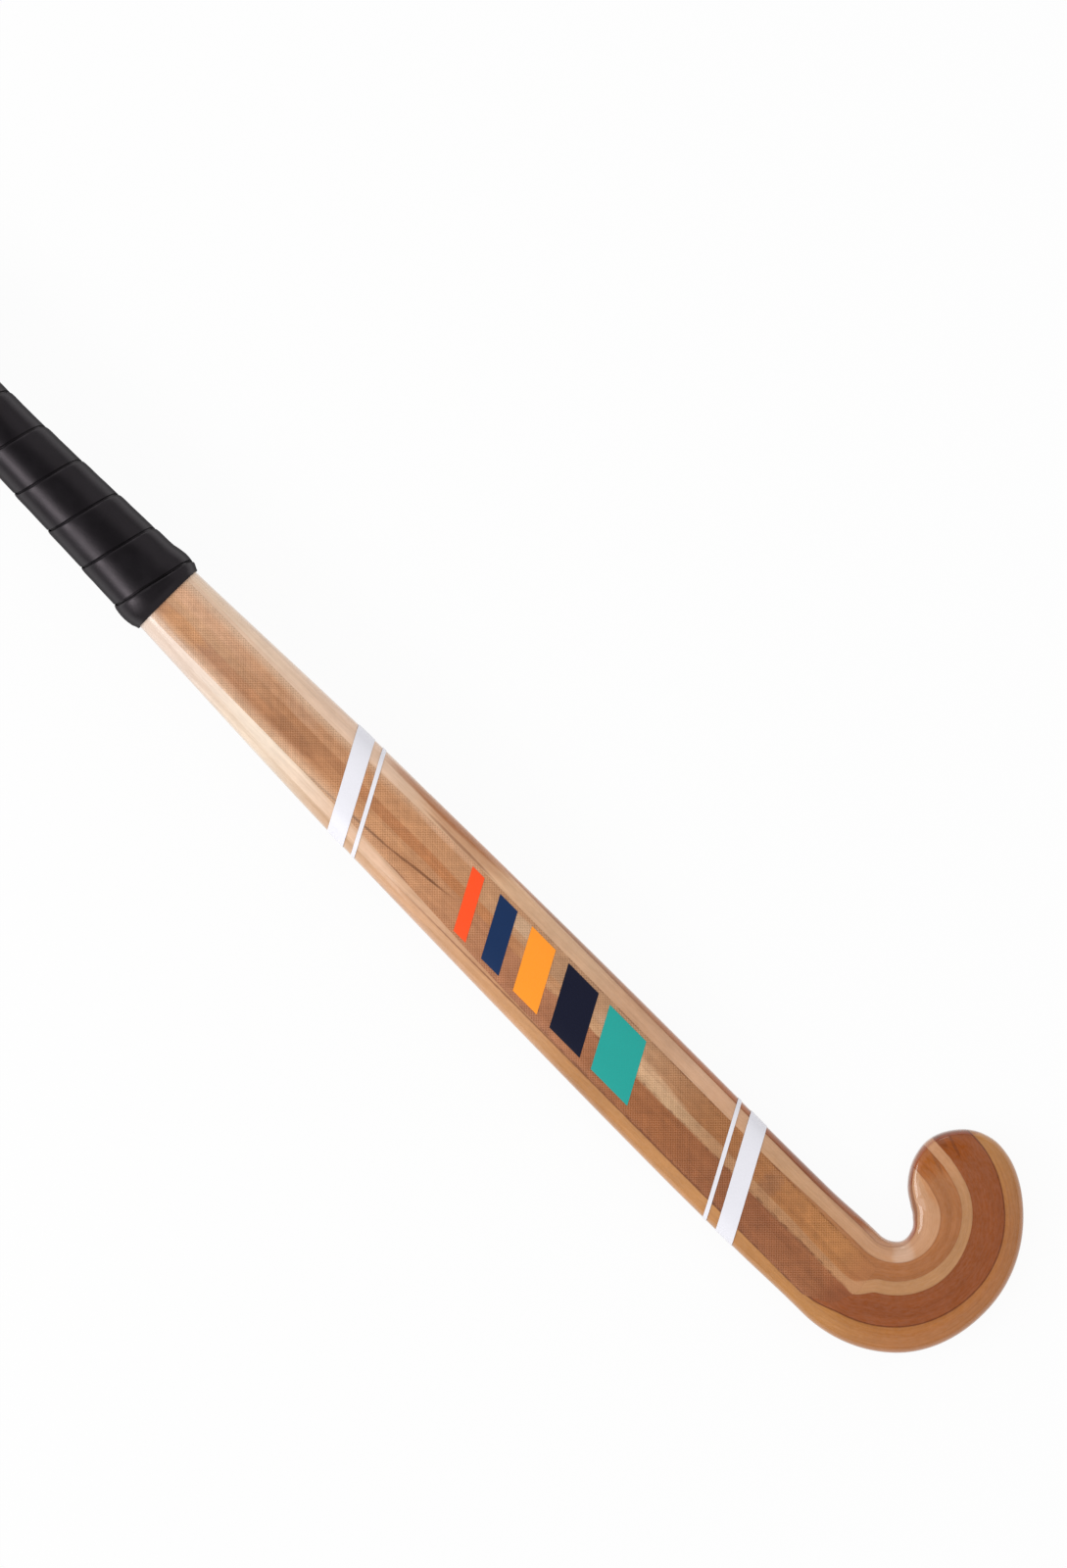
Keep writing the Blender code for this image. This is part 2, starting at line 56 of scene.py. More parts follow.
# Head, seen in plan
CROOK_OUT = 0.0375
CROOK_RADIUS = 0.0111
CROOK_THROAT = 0.0090
TOE_FACE_REACH = 0.0069
HEEL_REACH = 0.0606
BASE_REACH = 0.0577
TOE_BACK_REACH = 0.0562
TOE_CORNER_REACH = 0.0566
TOE_TOP_REACH = 0.0529
TOE_TIP_REACH = 0.0317
TOE_OVERHANG = 0.0147
TOE_FACE_FLARE = 0.0012
TOE_INNER_SHOULDER = 0.0046
TOE_INNER_CORNER = 0.0128
TOE_OUTER_SHOULDER = 0.0030
TOE_OUTER_CORNER = 0.0126
TOE_CORNER_DROP = 0.0009

# How steeply the outline leaves the bend where the toe's end starts, and its spread at the tip
TOE_INNER_SLOPE = 0.62
TOE_OUTER_SLOPE = 0.41
TOE_TIP_SPREAD = 0.016

# Shaft and handle, seen in plan
HEEL_HALF_WIDTH = 0.0226
SHAFT_WIDTH = 0.0487
MID_WIDTH = 0.0438
NECK_WIDTH = 0.0346
HANDLE_WIDTH = 0.0254
SHAFT_STATION = 0.090
NECK_LENGTH = 0.1318
HANDLE_TAPER = 0.130
GRIP_LENGTH = 0.4475
HEEL_BLEND = 0.040
CROOK_BLEND = 0.030
EDGE_STRAY = 0.0006

# Thickness, from the flat face to the top of the back
HEAD_THICKNESS = 0.0195
MID_THICKNESS = 0.0225
NECK_THICKNESS = 0.0250
HANDLE_THICKNESS = 0.0262
EDGE_SHARE = 0.42
HANDLE_EDGE_SHARE = 0.50
SIDE_FLAT = 0.0010
FACE_CORNER = 0.0042
NECK_FACE_CORNER = 0.0115
TOE_END_ROUND = 0.0100
HEAD_SQUARENESS = 3.2
SHAFT_SQUARENESS = 2.7
NECK_SQUARENESS = 2.45
HANDLE_SQUARENESS = 2.1
HANDLE_ROUNDING = 0.045

# Plies, from the inside of the hook to the heel
EDGE_LINE_OUT = 0.0219
EDGE_PLY_CROOK = 0.0033
EDGE_PLY_BEND = 0.0017
EDGE_PLY_TOE = 0.0025
INNER_LINE_OUT = 0.0138
INNER_BEND_REACH = 0.0202
BROWN_PLY_SHAFT = 0.0098
BROWN_PLY_CROOK = 0.0137
BROWN_PLY_BEND = 0.0081
BROWN_PLY_TOE = 0.0101
LIGHT_PLY_SHAFT = 0.0049
LIGHT_PLY_CROOK = 0.0038
LIGHT_PLY_KINK = 0.0072
LIGHT_PLY_BEND = 0.0062
LIGHT_PLY_TOE = 0.0048
HEEL_LINE_OUT = 0.0168
HEEL_LINE_STRAY = 0.0004
HEEL_LINE_CROOK = 0.0525
HEEL_LINE_KINK = 0.0497
HEEL_LINE_HEEL = 0.0485
HEEL_LINE_BEND = 0.0475
HEEL_LINE_TOE = 0.0492
HEEL_LINE_SLOPE = 0.20
KINK_START = 6
KINK_MIDDLE = 17
KINK_END = 30
PLY_WANDER = 0.0006
THINNEST_PLY = 0.0002

# Glass cloth
BACK_CLOTH_START = -0.0105
FACE_CLOTH_START = 0.046
CLOTH_TOE_SIDE = 0.0148
CLOTH_HEEL_SIDE = 0.0165
CLOTH_NECK_TOE_SIDE = 0.0121
CLOTH_NECK_HEEL_SIDE = 0.0106
CLOTH_NARROW_LENGTH = 0.075
CLOTH_TOE_TAPER = 0.120
CLOTH_HEEL_TAPER = 0.210
CLOTH_LIFT = 0.00014
CLOTH_TOE_CURVE = 0.0010
CLOTH_HEEL_CURVE = 0.0150
CLOTH_END_RAG = 0.0005
CLOTH_UNDER_GRIP = 0.002

# Grip tape
TAPE_PITCH = 0.022
TAPE_THICKNESS = 0.0013
TAPE_GAP = 0.0003
TAPE_SKIVE = 0.0030
TAPE_SEAM = 0.00115
TAPE_STEP = 0.0003
TAPE_CROWN = 0.00015
TAPE_CUT_SHARE = 0.35
TAPE_CUT_LENGTH = 0.0030
TAPE_START = 0.0006
TAPE_END = 0.0004
BEAD_HEIGHT = 0.0010
BEAD_FROM_END = 0.0085
BEAD_HALF_LENGTH = 0.0085
SEAM_PHASE = 0.0181
DIP_POINTS = 24
CHORD_DIPS = 1.5
TURN_POINTS = 96

# Places that follow from the sizes above
BUTT = LENGTH - BASE_REACH
GRIP_START = BUTT - GRIP_LENGTH
TAPER_END = GRIP_START + HANDLE_TAPER
MID_STATION = GRIP_START - NECK_LENGTH
CROOK_X = LENGTH / 2 - BASE_REACH
HEEL_STEP = SHAFT_WIDTH / 2 - HEEL_HALF_WIDTH
CROOK_STEP = CROOK_OUT - CROOK_RADIUS - SHAFT_WIDTH / 2
CLOTH_NARROW = GRIP_START - CLOTH_NARROW_LENGTH
CLOTH_END = GRIP_START + CLOTH_UNDER_GRIP
TOE_ROOT_REACH = TOE_FACE_REACH + TOE_FACE_FLARE
DEGREE = math.radians(1)

# The camera looks straight down, at the photograph's angle and scale
PICTURE_SIZE = (1089, 1600)
PIXELS_PER_METRE = 2300
CAMERA_DISTANCE = 5.0
CAMERA_AIM = (0.1557, 0.0576, 0.014)
PICTURE_RIGHT = (0.7028, 0.7114, 0.0)


def smooth_curve(*points, first_slope=0.0, last_slope=0.0):
    """A curve through (station, value) pairs that never overshoots them, level past both ends."""
    xs, ys = zip(*points)
    gaps = [b - a for a, b in zip(xs, xs[1:])]
    rises = [(b - a) / gap for a, b, gap in zip(ys, ys[1:], gaps)]
    slopes = [first_slope]
    for before, after in zip(rises, rises[1:]):
        slopes.append(0.0 if before * after <= 0 else 2 * before * after / (before + after))
    slopes.append(last_slope)

    def value(x):
        if x <= xs[0]:
            return ys[0]
        if x >= xs[-1]:
            return ys[-1]
        i = max(k for k in range(len(gaps)) if xs[k] <= x)
        t = (x - xs[i]) / gaps[i]
        start = ys[i] * (1 + 2 * t) + slopes[i] * gaps[i] * t
        end = ys[i + 1] * (3 - 2 * t) - slopes[i + 1] * gaps[i] * (1 - t)
        return start * (1 - t) ** 2 + end * t**2

    return value


def smooth_step(t):
    t = min(max(t, 0.0), 1.0)
    return t * t * (3 - 2 * t)


half_width = smooth_curve(
    (-BUTT, HANDLE_WIDTH / 2), (-TAPER_END, HANDLE_WIDTH / 2), (-GRIP_START, NECK_WIDTH / 2),
    (-MID_STATION, MID_WIDTH / 2), (-SHAFT_STATION, SHAFT_WIDTH / 2),
)
heel_inset = smooth_curve((-SHAFT_STATION, 0.0), (-HEEL_BLEND, EDGE_STRAY), (0, HEEL_STEP))
crook_flare = smooth_curve((-SHAFT_STATION, 0.0), (-CROOK_BLEND, EDGE_STRAY), (0, CROOK_STEP))
head_inside = smooth_curve(
    (0, CROOK_RADIUS), (50, CROOK_RADIUS), (90, CROOK_THROAT), (135, TOE_FACE_REACH),
    (180, TOE_ROOT_REACH), last_slope=TOE_INNER_SLOPE * TOE_ROOT_REACH * DEGREE,
)
toe_inside = smooth_curve(
    (180, TOE_ROOT_REACH), (200, TOE_FACE_REACH + TOE_INNER_SHOULDER),
    (229, TOE_TIP_REACH - TOE_INNER_CORNER), (270, TOE_TIP_REACH),
    first_slope=TOE_INNER_SLOPE * TOE_OVERHANG * DEGREE, last_slope=TOE_TIP_SPREAD * DEGREE,
)
head_outside = smooth_curve(
    (0, CROOK_OUT + HEEL_HALF_WIDTH), (45, HEEL_REACH), (90, BASE_REACH), (135, TOE_BACK_REACH),
    (158, TOE_CORNER_REACH), (170, TOE_CORNER_REACH - TOE_CORNER_DROP), (180, TOE_TOP_REACH),
    last_slope=-TOE_OUTER_SLOPE * TOE_TOP_REACH * DEGREE,
)
toe_outside = smooth_curve(
    (180, TOE_TOP_REACH), (200, TOE_TOP_REACH - TOE_OUTER_SHOULDER),
    (224, TOE_TIP_REACH + TOE_OUTER_CORNER), (270, TOE_TIP_REACH),
    first_slope=-TOE_OUTER_SLOPE * TOE_OVERHANG * DEGREE, last_slope=-TOE_TIP_SPREAD * DEGREE,
)
edge_ply = smooth_curve(
    (0, EDGE_PLY_CROOK), (60, EDGE_PLY_BEND), (120, EDGE_PLY_BEND), (180, EDGE_PLY_TOE),
)
edge_line_shaft = smooth_curve(
    (-HEEL_BLEND, CROOK_OUT - EDGE_LINE_OUT), (0, CROOK_RADIUS + EDGE_PLY_CROOK),
)
inner_line = smooth_curve(
    (-SHAFT_STATION, CROOK_OUT - INNER_LINE_OUT), (0, INNER_BEND_REACH + PLY_WANDER),
    (60, INNER_BEND_REACH), (140, INNER_BEND_REACH - 2 * PLY_WANDER),
    (165, INNER_BEND_REACH - 2 * PLY_WANDER), (190, INNER_BEND_REACH), (270, INNER_BEND_REACH + PLY_WANDER),
)
brown_ply = smooth_curve(
    (-SHAFT_STATION, BROWN_PLY_SHAFT), (0, BROWN_PLY_CROOK), (KINK_START, BROWN_PLY_CROOK),
    (KINK_END, BROWN_PLY_BEND), (70, BROWN_PLY_BEND), (180, BROWN_PLY_TOE),
)
light_ply = smooth_curve(
    (-SHAFT_STATION, LIGHT_PLY_SHAFT), (0, LIGHT_PLY_CROOK), (KINK_START, LIGHT_PLY_CROOK),
    (KINK_MIDDLE, LIGHT_PLY_KINK), (KINK_END, LIGHT_PLY_BEND), (70, LIGHT_PLY_BEND), (120, LIGHT_PLY_TOE),
)
heel_line_shaft = smooth_curve(
    (-SHAFT_STATION, CROOK_OUT + HEEL_LINE_OUT),
    (-CROOK_BLEND, CROOK_OUT + HEEL_LINE_OUT - HEEL_LINE_STRAY), (0, HEEL_LINE_CROOK),
    last_slope=-HEEL_LINE_SLOPE,
)
heel_line_bend = smooth_curve(
    (0, HEEL_LINE_CROOK), (14, HEEL_LINE_KINK), (50, HEEL_LINE_HEEL), (90, HEEL_LINE_BEND),
    (140, HEEL_LINE_BEND), (185, HEEL_LINE_TOE), first_slope=-HEEL_LINE_SLOPE * HEEL_LINE_CROOK * DEGREE,
)
thickness = smooth_curve(
    (-TAPER_END, HANDLE_THICKNESS), (-GRIP_START, NECK_THICKNESS), (-MID_STATION, MID_THICKNESS),
    (0, HEAD_THICKNESS),
)
edge_share = smooth_curve((-TAPER_END, HANDLE_EDGE_SHARE), (-MID_STATION, EDGE_SHARE))
squareness = smooth_curve(
    (-GRIP_START - HANDLE_ROUNDING, HANDLE_SQUARENESS), (-GRIP_START, NECK_SQUARENESS),
    (-MID_STATION, SHAFT_SQUARENESS), (0, HEAD_SQUARENESS),
)
face_corner = smooth_curve(
    (-TAPER_END, HANDLE_WIDTH / 2), (-GRIP_START, NECK_FACE_CORNER), (-MID_STATION, FACE_CORNER),
)
cloth_toe_side = smooth_curve(
    (-CLOTH_NARROW, CLOTH_NECK_TOE_SIDE), (-CLOTH_NARROW + CLOTH_TOE_TAPER, CLOTH_TOE_SIDE),
)
cloth_heel_side = smooth_curve(
    (-CLOTH_NARROW, CLOTH_NECK_HEEL_SIDE), (-CLOTH_NARROW + CLOTH_HEEL_TAPER, CLOTH_HEEL_SIDE),
)


def inside(station):
    """Reach of the edge on the hook's side."""
    if station > 180:
        return toe_inside(station)
    if station >= 0:
        return head_inside(station)
    return CROOK_OUT - half_width(station) - crook_flare(station)


def outside(station):
    """Reach of the edge on the heel's side."""
    if station > 180:
        return toe_outside(station)
    if station >= 0:
        return head_outside(station)
    return CROOK_OUT + half_width(station) - heel_inset(station)


def glue_lines(station):
    """Reach of every boundary between plies, from the hook's side to the heel's side."""
    edge = inside(station) + edge_ply(station) if station >= 0 else edge_line_shaft(station)
    inner = inner_line(station)
    brown = inner + brown_ply(station)
    light = brown + light_ply(station)
    heel = heel_line_bend(station) if station >= 0 else heel_line_shaft(station)
    return [-math.inf, min(edge, inner), inner, brown, light, heel, math.inf]


def chord_dip(radius):
    """How far the flat between two points of the solid winding dips below the curve it follows."""
    return CHORD_DIPS * radius * (1 - math.cos(math.pi / DIP_POINTS))


def tape_build():
    """How far the outside of the grip stands off the wood."""
    return TAPE_GAP + chord_dip(HANDLE_THICKNESS / 2) + TAPE_THICKNESS + max(TAPE_STEP, TAPE_CROWN)


def face_rise(station):
    """Height of the flat face: the head lies level and the shaft bows up off the ground."""
    along = max(-station, 0.0)
    if along <= BOW_PEAK:
        return BOW * smooth_step((along - BOW_START) / (BOW_PEAK - BOW_START))
    fall = (along - BOW_PEAK) / (BUTT - BOW_PEAK)
    return BOW + (tape_build() - BOW) * fall**2


def toe_end_share(station, round_length, power):
    """Falls from 1 to 0 over the rounded end of the toe."""
    if station <= 180:
        return 1.0
    left = TOE_OVERHANG * (1 - math.sin(math.radians(station - 180)))
    t = min(left / round_length, 1.0)
    return max(1 - (1 - t) ** power, 0.0) ** (1 / power)


def plan_point(station, reach):
    """Plan place (x, y) before the stick is centred on the origin."""
    if station < 0:
        return CROOK_X + station, CROOK_OUT - reach
    if station <= 180:
        angle = math.radians(station)
        return CROOK_X + reach * math.sin(angle), CROOK_OUT - reach * math.cos(angle)
    overhang = TOE_OVERHANG * math.sin(math.radians(station - 180))
    return CROOK_X - overhang, CROOK_OUT + reach


def outline_middle():
    """Where the middle of the plan outline lies, which goes to the origin."""
    stations = [-BUTT * k / 100 for k in range(1, 101)] + [2.0 * k for k in range(136)]
    xs, ys = zip(*(plan_point(s, edge(s)) for s in stations for edge in (inside, outside)))
    return (min(xs) + max(xs)) / 2, (min(ys) + max(ys)) / 2


MIDDLE = outline_middle()


def placed(station, reach, height):
    x, y = plan_point(station, reach)
    return Vector((x - MIDDLE[0], y - MIDDLE[1], height))


def station_at(along, out):
    """Station and reach of a plan place: its distance up the shaft and out from the axis."""
    if along >= 0:
        return -along, CROOK_OUT - out
    angle = math.degrees(math.atan2(-along, CROOK_OUT - out))
    return angle, math.hypot(along, CROOK_OUT - out)


# One cross-section: its two edges and what its surface is drawn from
Section = namedtuple("Section", "middle half rise edge depth power corner back_share face_share")
THINNEST_HALF = 1e-6


@functools.cache
def section(station):
    low, high = inside(station), outside(station)
    half = max((high - low) / 2, THINNEST_HALF)
    power = squareness(station)
    return Section(
        middle=(low + high) / 2,
        half=half,
        rise=face_rise(station),
        edge=thickness(station) * edge_share(station),
        depth=thickness(station),
        power=power,
        corner=min(face_corner(station) / half, 1.0),
        back_share=toe_end_share(station, TOE_END_ROUND, power),
        face_share=toe_end_share(station, FACE_CORNER, 2),
    )


# Share of the turn across the face that its flat middle takes
FLAT_SHARE = 0.6


def turn_at(station, side, reach):
    """Where a reach lies on the back (side 1) or face (side -1), as a turn from -1 to 1 across it."""
    cut = section(station)
    w = min(max((reach - cut.middle) / cut.half, -1.0), 1.0)
    if side > 0:
        turn = math.asin(abs(w) ** (cut.power / 2)) / (math.pi / 2)
    elif abs(w) <= 1 - cut.corner:
        turn = FLAT_SHARE * abs(w) / (1 - cut.corner)
    else:
        round_part = math.asin(min((abs(w) - (1 - cut.corner)) / cut.corner, 1.0)) / (math.pi / 2)
        turn = FLAT_SHARE + (1 - FLAT_SHARE) * round_part
    return math.copysign(turn, w)


def skin_place(station, side, turn):
    """Reach and height of the surface at a turn across the back or the face."""
    cut = section(station)
    angle = abs(turn) * math.pi / 2
    if side > 0:
        w = math.sin(angle) ** (2 / cut.power)
        dome = math.cos(angle) ** (2 / cut.power) * cut.back_share
        height = cut.edge + SIDE_FLAT / 2 + (cut.depth - cut.edge - SIDE_FLAT / 2) * dome
    else:
        if abs(turn) <= FLAT_SHARE:
            w = abs(turn) / FLAT_SHARE * (1 - cut.corner)
            drop = 1.0
        else:
            round_part = (abs(turn) - FLAT_SHARE) / (1 - FLAT_SHARE) * math.pi / 2
            w = 1 - cut.corner + cut.corner * math.sin(round_part)
            drop = math.cos(round_part)
        height = cut.edge - SIDE_FLAT / 2 - (cut.edge - SIDE_FLAT / 2) * drop * cut.face_share
    return cut.middle + math.copysign(w, turn) * cut.half, cut.rise + height


def skin_point(station, side, turn):
    return placed(station, *skin_place(station, side, turn))


# How far to both sides a surface's direction is measured: metres up the shaft, degrees round the
# head, and turns across
SHAFT_STEP = 0.0005
HEAD_STEP = 0.4
TURN_STEP = 0.01
LAST_STATION = 269.5


def skin_normal(station, side, turn):
    """The direction straight out of the surface."""
    step = SHAFT_STEP if station < 0 else HEAD_STEP
    low_station, high_station = max(station - step, -BUTT), min(station + step, LAST_STATION)
    low_turn, high_turn = max(turn - TURN_STEP, -1.0), min(turn + TURN_STEP, 1.0)
    along = skin_point(high_station, side, turn) - skin_point(low_station, side, turn)
    across = skin_point(station, side, high_turn) - skin_point(station, side, low_turn)
    normal = across.cross(along) * side
    return normal.normalized() if normal.length > 1e-12 else Vector((0, 0, side))


def raised(station, side, turn, lift):
    """A point this far off the surface, and the direction out of it."""
    normal = skin_normal(station, side, turn)
    return skin_point(station, side, turn) + normal * lift, normal


def path_length(station, reach):
    """Distance along a ply from the start of the crook, negative up the shaft."""
    if station <= 0:
        return station
    if station <= 180:
        return reach * math.radians(station)
    return reach * math.pi + TOE_OVERHANG * math.sin(math.radians(station - 180))


def new_object(name, vertices, faces, material, normals=None):
    """A smooth piece made of vertices and faces, with its own corner normals where they are given."""
    mesh = bpy.data.meshes.new(name)
    mesh.from_pydata([tuple(v) for v in vertices], [], faces)
    mesh.shade_smooth()
    if normals is not None:
        mesh.normals_split_custom_set([tuple(n) for n in normals])
    mesh.materials.append(material)
    piece = bpy.data.objects.new(name, mesh)
    bpy.context.scene.collection.objects.link(piece)
    return piece


def grid_faces(rows, width, columns):
    """The faces between rows of points. With as many columns as points, each row closes to a ring."""
    for near in range(0, (rows - 1) * width, width):
        for k in range(columns):
            following = (k + 1) % width
            yield near + k, near + following, near + width + following, near + width + k


def end_caps(count, width):
    """The faces that close both ends of a tube of points: its first ring turned round, and its last."""
    return list(range(width))[::-1], list(range(count - width, count))


def new_sheet(name, side, columns, points, normals, material):
    """A grid of points as a thin sheet that faces out from the back (side 1) or the face (side -1)."""
    width = columns + 1
    faces = [face[::-side] for face in grid_faces(len(points) // width, width, columns)]
    return new_object(name, points, faces, material, [normals[i] for face in faces for i in face])


def store_vectors(piece, **lists):
    """Stores one vector for each vertex under each name, which the material reads."""
    for name, values in lists.items():
        made = piece.data.attributes.new(name, "FLOAT_VECTOR", "POINT")
        made.data.foreach_set("vector", np.array(values, dtype=np.float32).ravel())


def finish_piece(piece, slot, *nodes):
    """Puts a piece on the stick and lets it stand for these nodes. The slot is not used."""
    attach(piece, "root")
    if nodes:
        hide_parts(*nodes)


class Nodes:
    """A node tree whose nodes are added by short calls. Most of them return the node's output."""

    def __init__(self, tree):
        self.tree = tree

    def give(self, socket, value):
        """Links a socket to another node's output, or sets a number, vector or colour on it."""
        if isinstance(value, bpy.types.NodeSocket):
            self.tree.links.new(value, socket)
        else:
            socket.default_value = (*value, 1.0) if socket.type == "RGBA" else value

    def node(self, kind, inputs=(), **settings):
        made = self.tree.nodes.new("ShaderNode" + kind)
        for name, value in settings.items():
            setattr(made, name, value)
        for socket, value in dict(inputs).items():
            self.give(made.inputs[socket], value)
        return made

    def out(self, kind, inputs, **settings):
        """Adds a node and gives its first output."""
        return self.node(kind, inputs, **settings).outputs[0]

    def attribute(self, name):
        return self.node("Attribute", attribute_name=name).outputs["Vector"]

    def place(self):
        """The place on the whole stick, in metres."""
        return self.node("TexCoord").outputs["Object"]

    def parts(self, vector):
        return self.node("SeparateXYZ", {0: vector}).outputs

    def math(self, operation, first, second=0.0):
        return self.out("Math", {0: first, 1: second}, operation=operation)

    plus = functools.partialmethod(math, "ADD")
    minus = functools.partialmethod(math, "SUBTRACT")
    times = functools.partialmethod(math, "MULTIPLY")

    def scaled(self, value, scale, shift=0.0):
        inputs = {0: value, 1: scale, 2: shift}
        return self.out("Math", inputs, operation="MULTIPLY_ADD")

    def centred(self, value, spread):
        """Turns 0 to 1 into minus half the spread to plus half of it."""
        return self.scaled(value, spread, -0.5 * spread)

    def between(self, value, low, high, start=0.0, end=1.0):
        """Goes smoothly from start at low to end at high."""
        inputs = {"Value": value, "From Min": low, "From Max": high, "To Min": start, "To Max": end}
        return self.out("MapRange", inputs, interpolation_type="SMOOTHSTEP")

    def stretch(self, vector, scale, turn=0.0, shift=(0, 0, 0)):
        inputs = {"Vector": vector, "Scale": scale, "Rotation": (0, 0, turn), "Location": shift}
        return self.out("Mapping", inputs)

    def noise(self, vector, scale, detail=3.0, roughness=0.55, distortion=0.0, shift=(0, 0, 0)):
        """Noise with this many features per metre along each axis."""
        place = self.stretch(vector, scale, shift=shift)
        inputs = {"Vector": place, "Scale": 1.0, "Detail": detail, "Roughness": roughness}
        inputs["Distortion"] = distortion
        return self.out("TexNoise", inputs)

    def mix(self, share, first, second):
        inputs = {0: share, 6: first, 7: second}
        return self.node("Mix", inputs, data_type="RGBA").outputs[2]

    def mix_numbers(self, share, first, second):
        return self.out("Mix", {0: share, 2: first, 3: second})

    def vector_math(self, operation, first, second):
        socket = "Scale" if operation == "SCALE" else 1
        return self.out("VectorMath", {0: first, socket: second}, operation=operation)

    # A colour with its red, green and blue multiplied by three factors, or all by one number
    tinted = functools.partialmethod(vector_math, "MULTIPLY")
    dimmed = functools.partialmethod(vector_math, "SCALE")

    def lightened(self, colour, amount):
        """A colour with one small amount, above or below 0, added to its red, green and blue."""
        return self.vector_math("MAXIMUM", self.vector_math("ADD", colour, amount), (0.0, 0.0, 0.0))

    def bump(self, height, depth):
        return self.out("Bump", {"Height": height, "Distance": depth})


class Shader(Nodes):
    """A material and its surface."""

    def __init__(self, name):
        self.material = bpy.data.materials.new(name)
        self.material.use_nodes = True
        super().__init__(self.material.node_tree)
        self.surface = self.tree.nodes["Principled BSDF"]

    def set(self, **values):
        """Sets the surface's sockets, named with underscores for spaces."""
        for name, value in values.items():
            self.give(self.surface.inputs[name.replace("_", " ")], value)


def linear(value):
    """A screen value from 0 to 255 in linear light."""
    share = value / 255
    return share / 12.92 if value <= 10 else ((share + 0.055) / 1.055) ** 2.4


def rgb(red, green, blue):
    return linear(red), linear(green), linear(blue)


# How the surfaces shine, and how deep their small waves are
LACQUER_GLOSS = 0.07
WOOD_ROUGHNESS = 0.5
LACQUER_RIPPLE = 0.00002
FIBRE_DEPTH = 0.00005
WEAVE_DEPTH = 0.00006
PAINT_WEAVE_DEPTH = 0.00002


def lacquer(shader):
    """A clear glossy coat that ripples very slightly."""
    ripple = shader.noise(shader.place(), (160, 160, 160), detail=1.0)
    shader.set(Coat_Weight=1.0, Coat_Roughness=LACQUER_GLOSS, Coat_IOR=1.5, Roughness=WOOD_ROUGHNESS)
    shader.set(Specular_IOR_Level=0.15, Coat_Normal=shader.bump(ripple, LACQUER_RIPPLE))


def measured_place(shader):
    """Distance from the head's end towards the butt, and out from the shaft's axis to the toe's side."""
    x, y, _ = shader.parts(shader.place())
    end = CROOK_X - MIDDLE[0] + BASE_REACH
    return shader.minus(end, x), shader.plus(y, MIDDLE[1])


# How uneven a streak's edge is, and where it starts and is full, from its middle at 0 to its rim at 1
STREAK_WOBBLE = 1.6
STREAK_EDGE = (1.1, 0.15)


def add_streaks(shader, colour, streaks, wobble):
    """Lays soft streaks over a colour, their edges shaped by a noise."""
    x, y = measured_place(shader)
    for middle_x, middle_y, length, width, tilt, screen_colour, strength in streaks:
        dx, dy = shader.minus(x, middle_x), shader.minus(y, middle_y)
        cos, sin = math.cos(tilt), math.sin(tilt)
        along = shader.plus(shader.times(dx, cos), shader.times(dy, sin))
        out = shader.minus(shader.times(dy, cos), shader.times(dx, sin))
        along, out = shader.math("DIVIDE", along, length / 2), shader.math("DIVIDE", out, width / 2)
        square = shader.plus(shader.times(along, along), shader.times(out, out))
        uneven = shader.plus(square, shader.centred(wobble, STREAK_WOBBLE))
        share = shader.times(shader.between(uneven, *STREAK_EDGE), strength)
        colour = shader.mix(share, colour, rgb(*screen_colour))
    return colour


RAMP_LENGTH = 0.5


def along_colour(shader, stops):
    """A colour that changes smoothly along the stick, from its distances and screen values."""
    x, _ = measured_place(shader)
    made = shader.node("ValToRGB", {0: shader.math("DIVIDE", x, RAMP_LENGTH)})
    made.color_ramp.interpolation = "EASE"
    elements = made.color_ramp.elements
    first, *others, last = [(place / RAMP_LENGTH, (*rgb(*values), 1.0)) for place, *values in stops]
    elements[1].position, elements[1].color = last
    elements[0].position, elements[0].color = first
    for position, colour in others:
        elements.new(position).color = colour
    return made.outputs[0]


# The wood's figure, in features per metre along, across and up a ply, or on the whole stick
BROAD = (13, 330, 190)
BLOTCHES = (95, 120, 120)
FIBRES = (45, 1900, 900)
RING_SPREAD = (3.5, 60, 60)
PORES = (130, 4200, 2500)
FLECKS = (400, 1100, 700)
WOBBLE = (20, 260, 120)
UNEVEN = (420, 420, 420)
RING_DARKNESS = 0.18
PORE_DARKNESS = 0.30
FLECK_CONTRAST = 0.055
DEEP_TINT = (0.66, 0.54, 0.44)


def grained(shader, grain, colour, rings):
    """Wood figure that runs along a ply: broad streaks, fine fibres, year rings and pores."""
    broad = shader.noise(grain, BROAD, distortion=0.4)
    blotches = shader.noise(shader.place(), BLOTCHES, roughness=0.6)
    fine = shader.noise(grain, FIBRES, detail=4.0, roughness=0.65)
    ring_noise = shader.noise(grain, RING_SPREAD, detail=2.0, distortion=0.6, shift=(3.7, 1.3, 0.4))
    ring_wave = shader.math("SINE", shader.times(ring_noise, rings))
    pores = shader.noise(grain, PORES, detail=2.0, shift=(9.1, 4.2, 2.2))
    dark = shader.scaled(shader.between(ring_wave, 0.35, 1.0), RING_DARKNESS)
    dark = shader.plus(dark, shader.scaled(shader.between(pores, 0.60, 0.74), PORE_DARKNESS))
    colour = shader.mix(dark, colour, shader.tinted(colour, DEEP_TINT))
    shade = shader.plus(shader.scaled(broad, 0.34, 0.56), shader.scaled(fine, 0.38))
    shade = shader.plus(shade, shader.scaled(blotches, 0.26))
    return shader.dimmed(colour, shade), fine


# Painted shade at the toe's rounded rim and a painted shade line along the arris inside it: where the shade
# starts and is full, how dark it is, and the line's distance from the rim, edge, strength and colour
RIM_SHADE = (0.0032, 0.0006)
RIM_SHADE_DARKNESS = 0.7
ARRIS_SHADE_LINE = 0.0016
ARRIS_SHADE_EDGE = (0.0005, 0.0001)
ARRIS_SHADE_STRENGTH = 0.4
ARRIS_SHADE_COLOUR = (150, 62, 40)


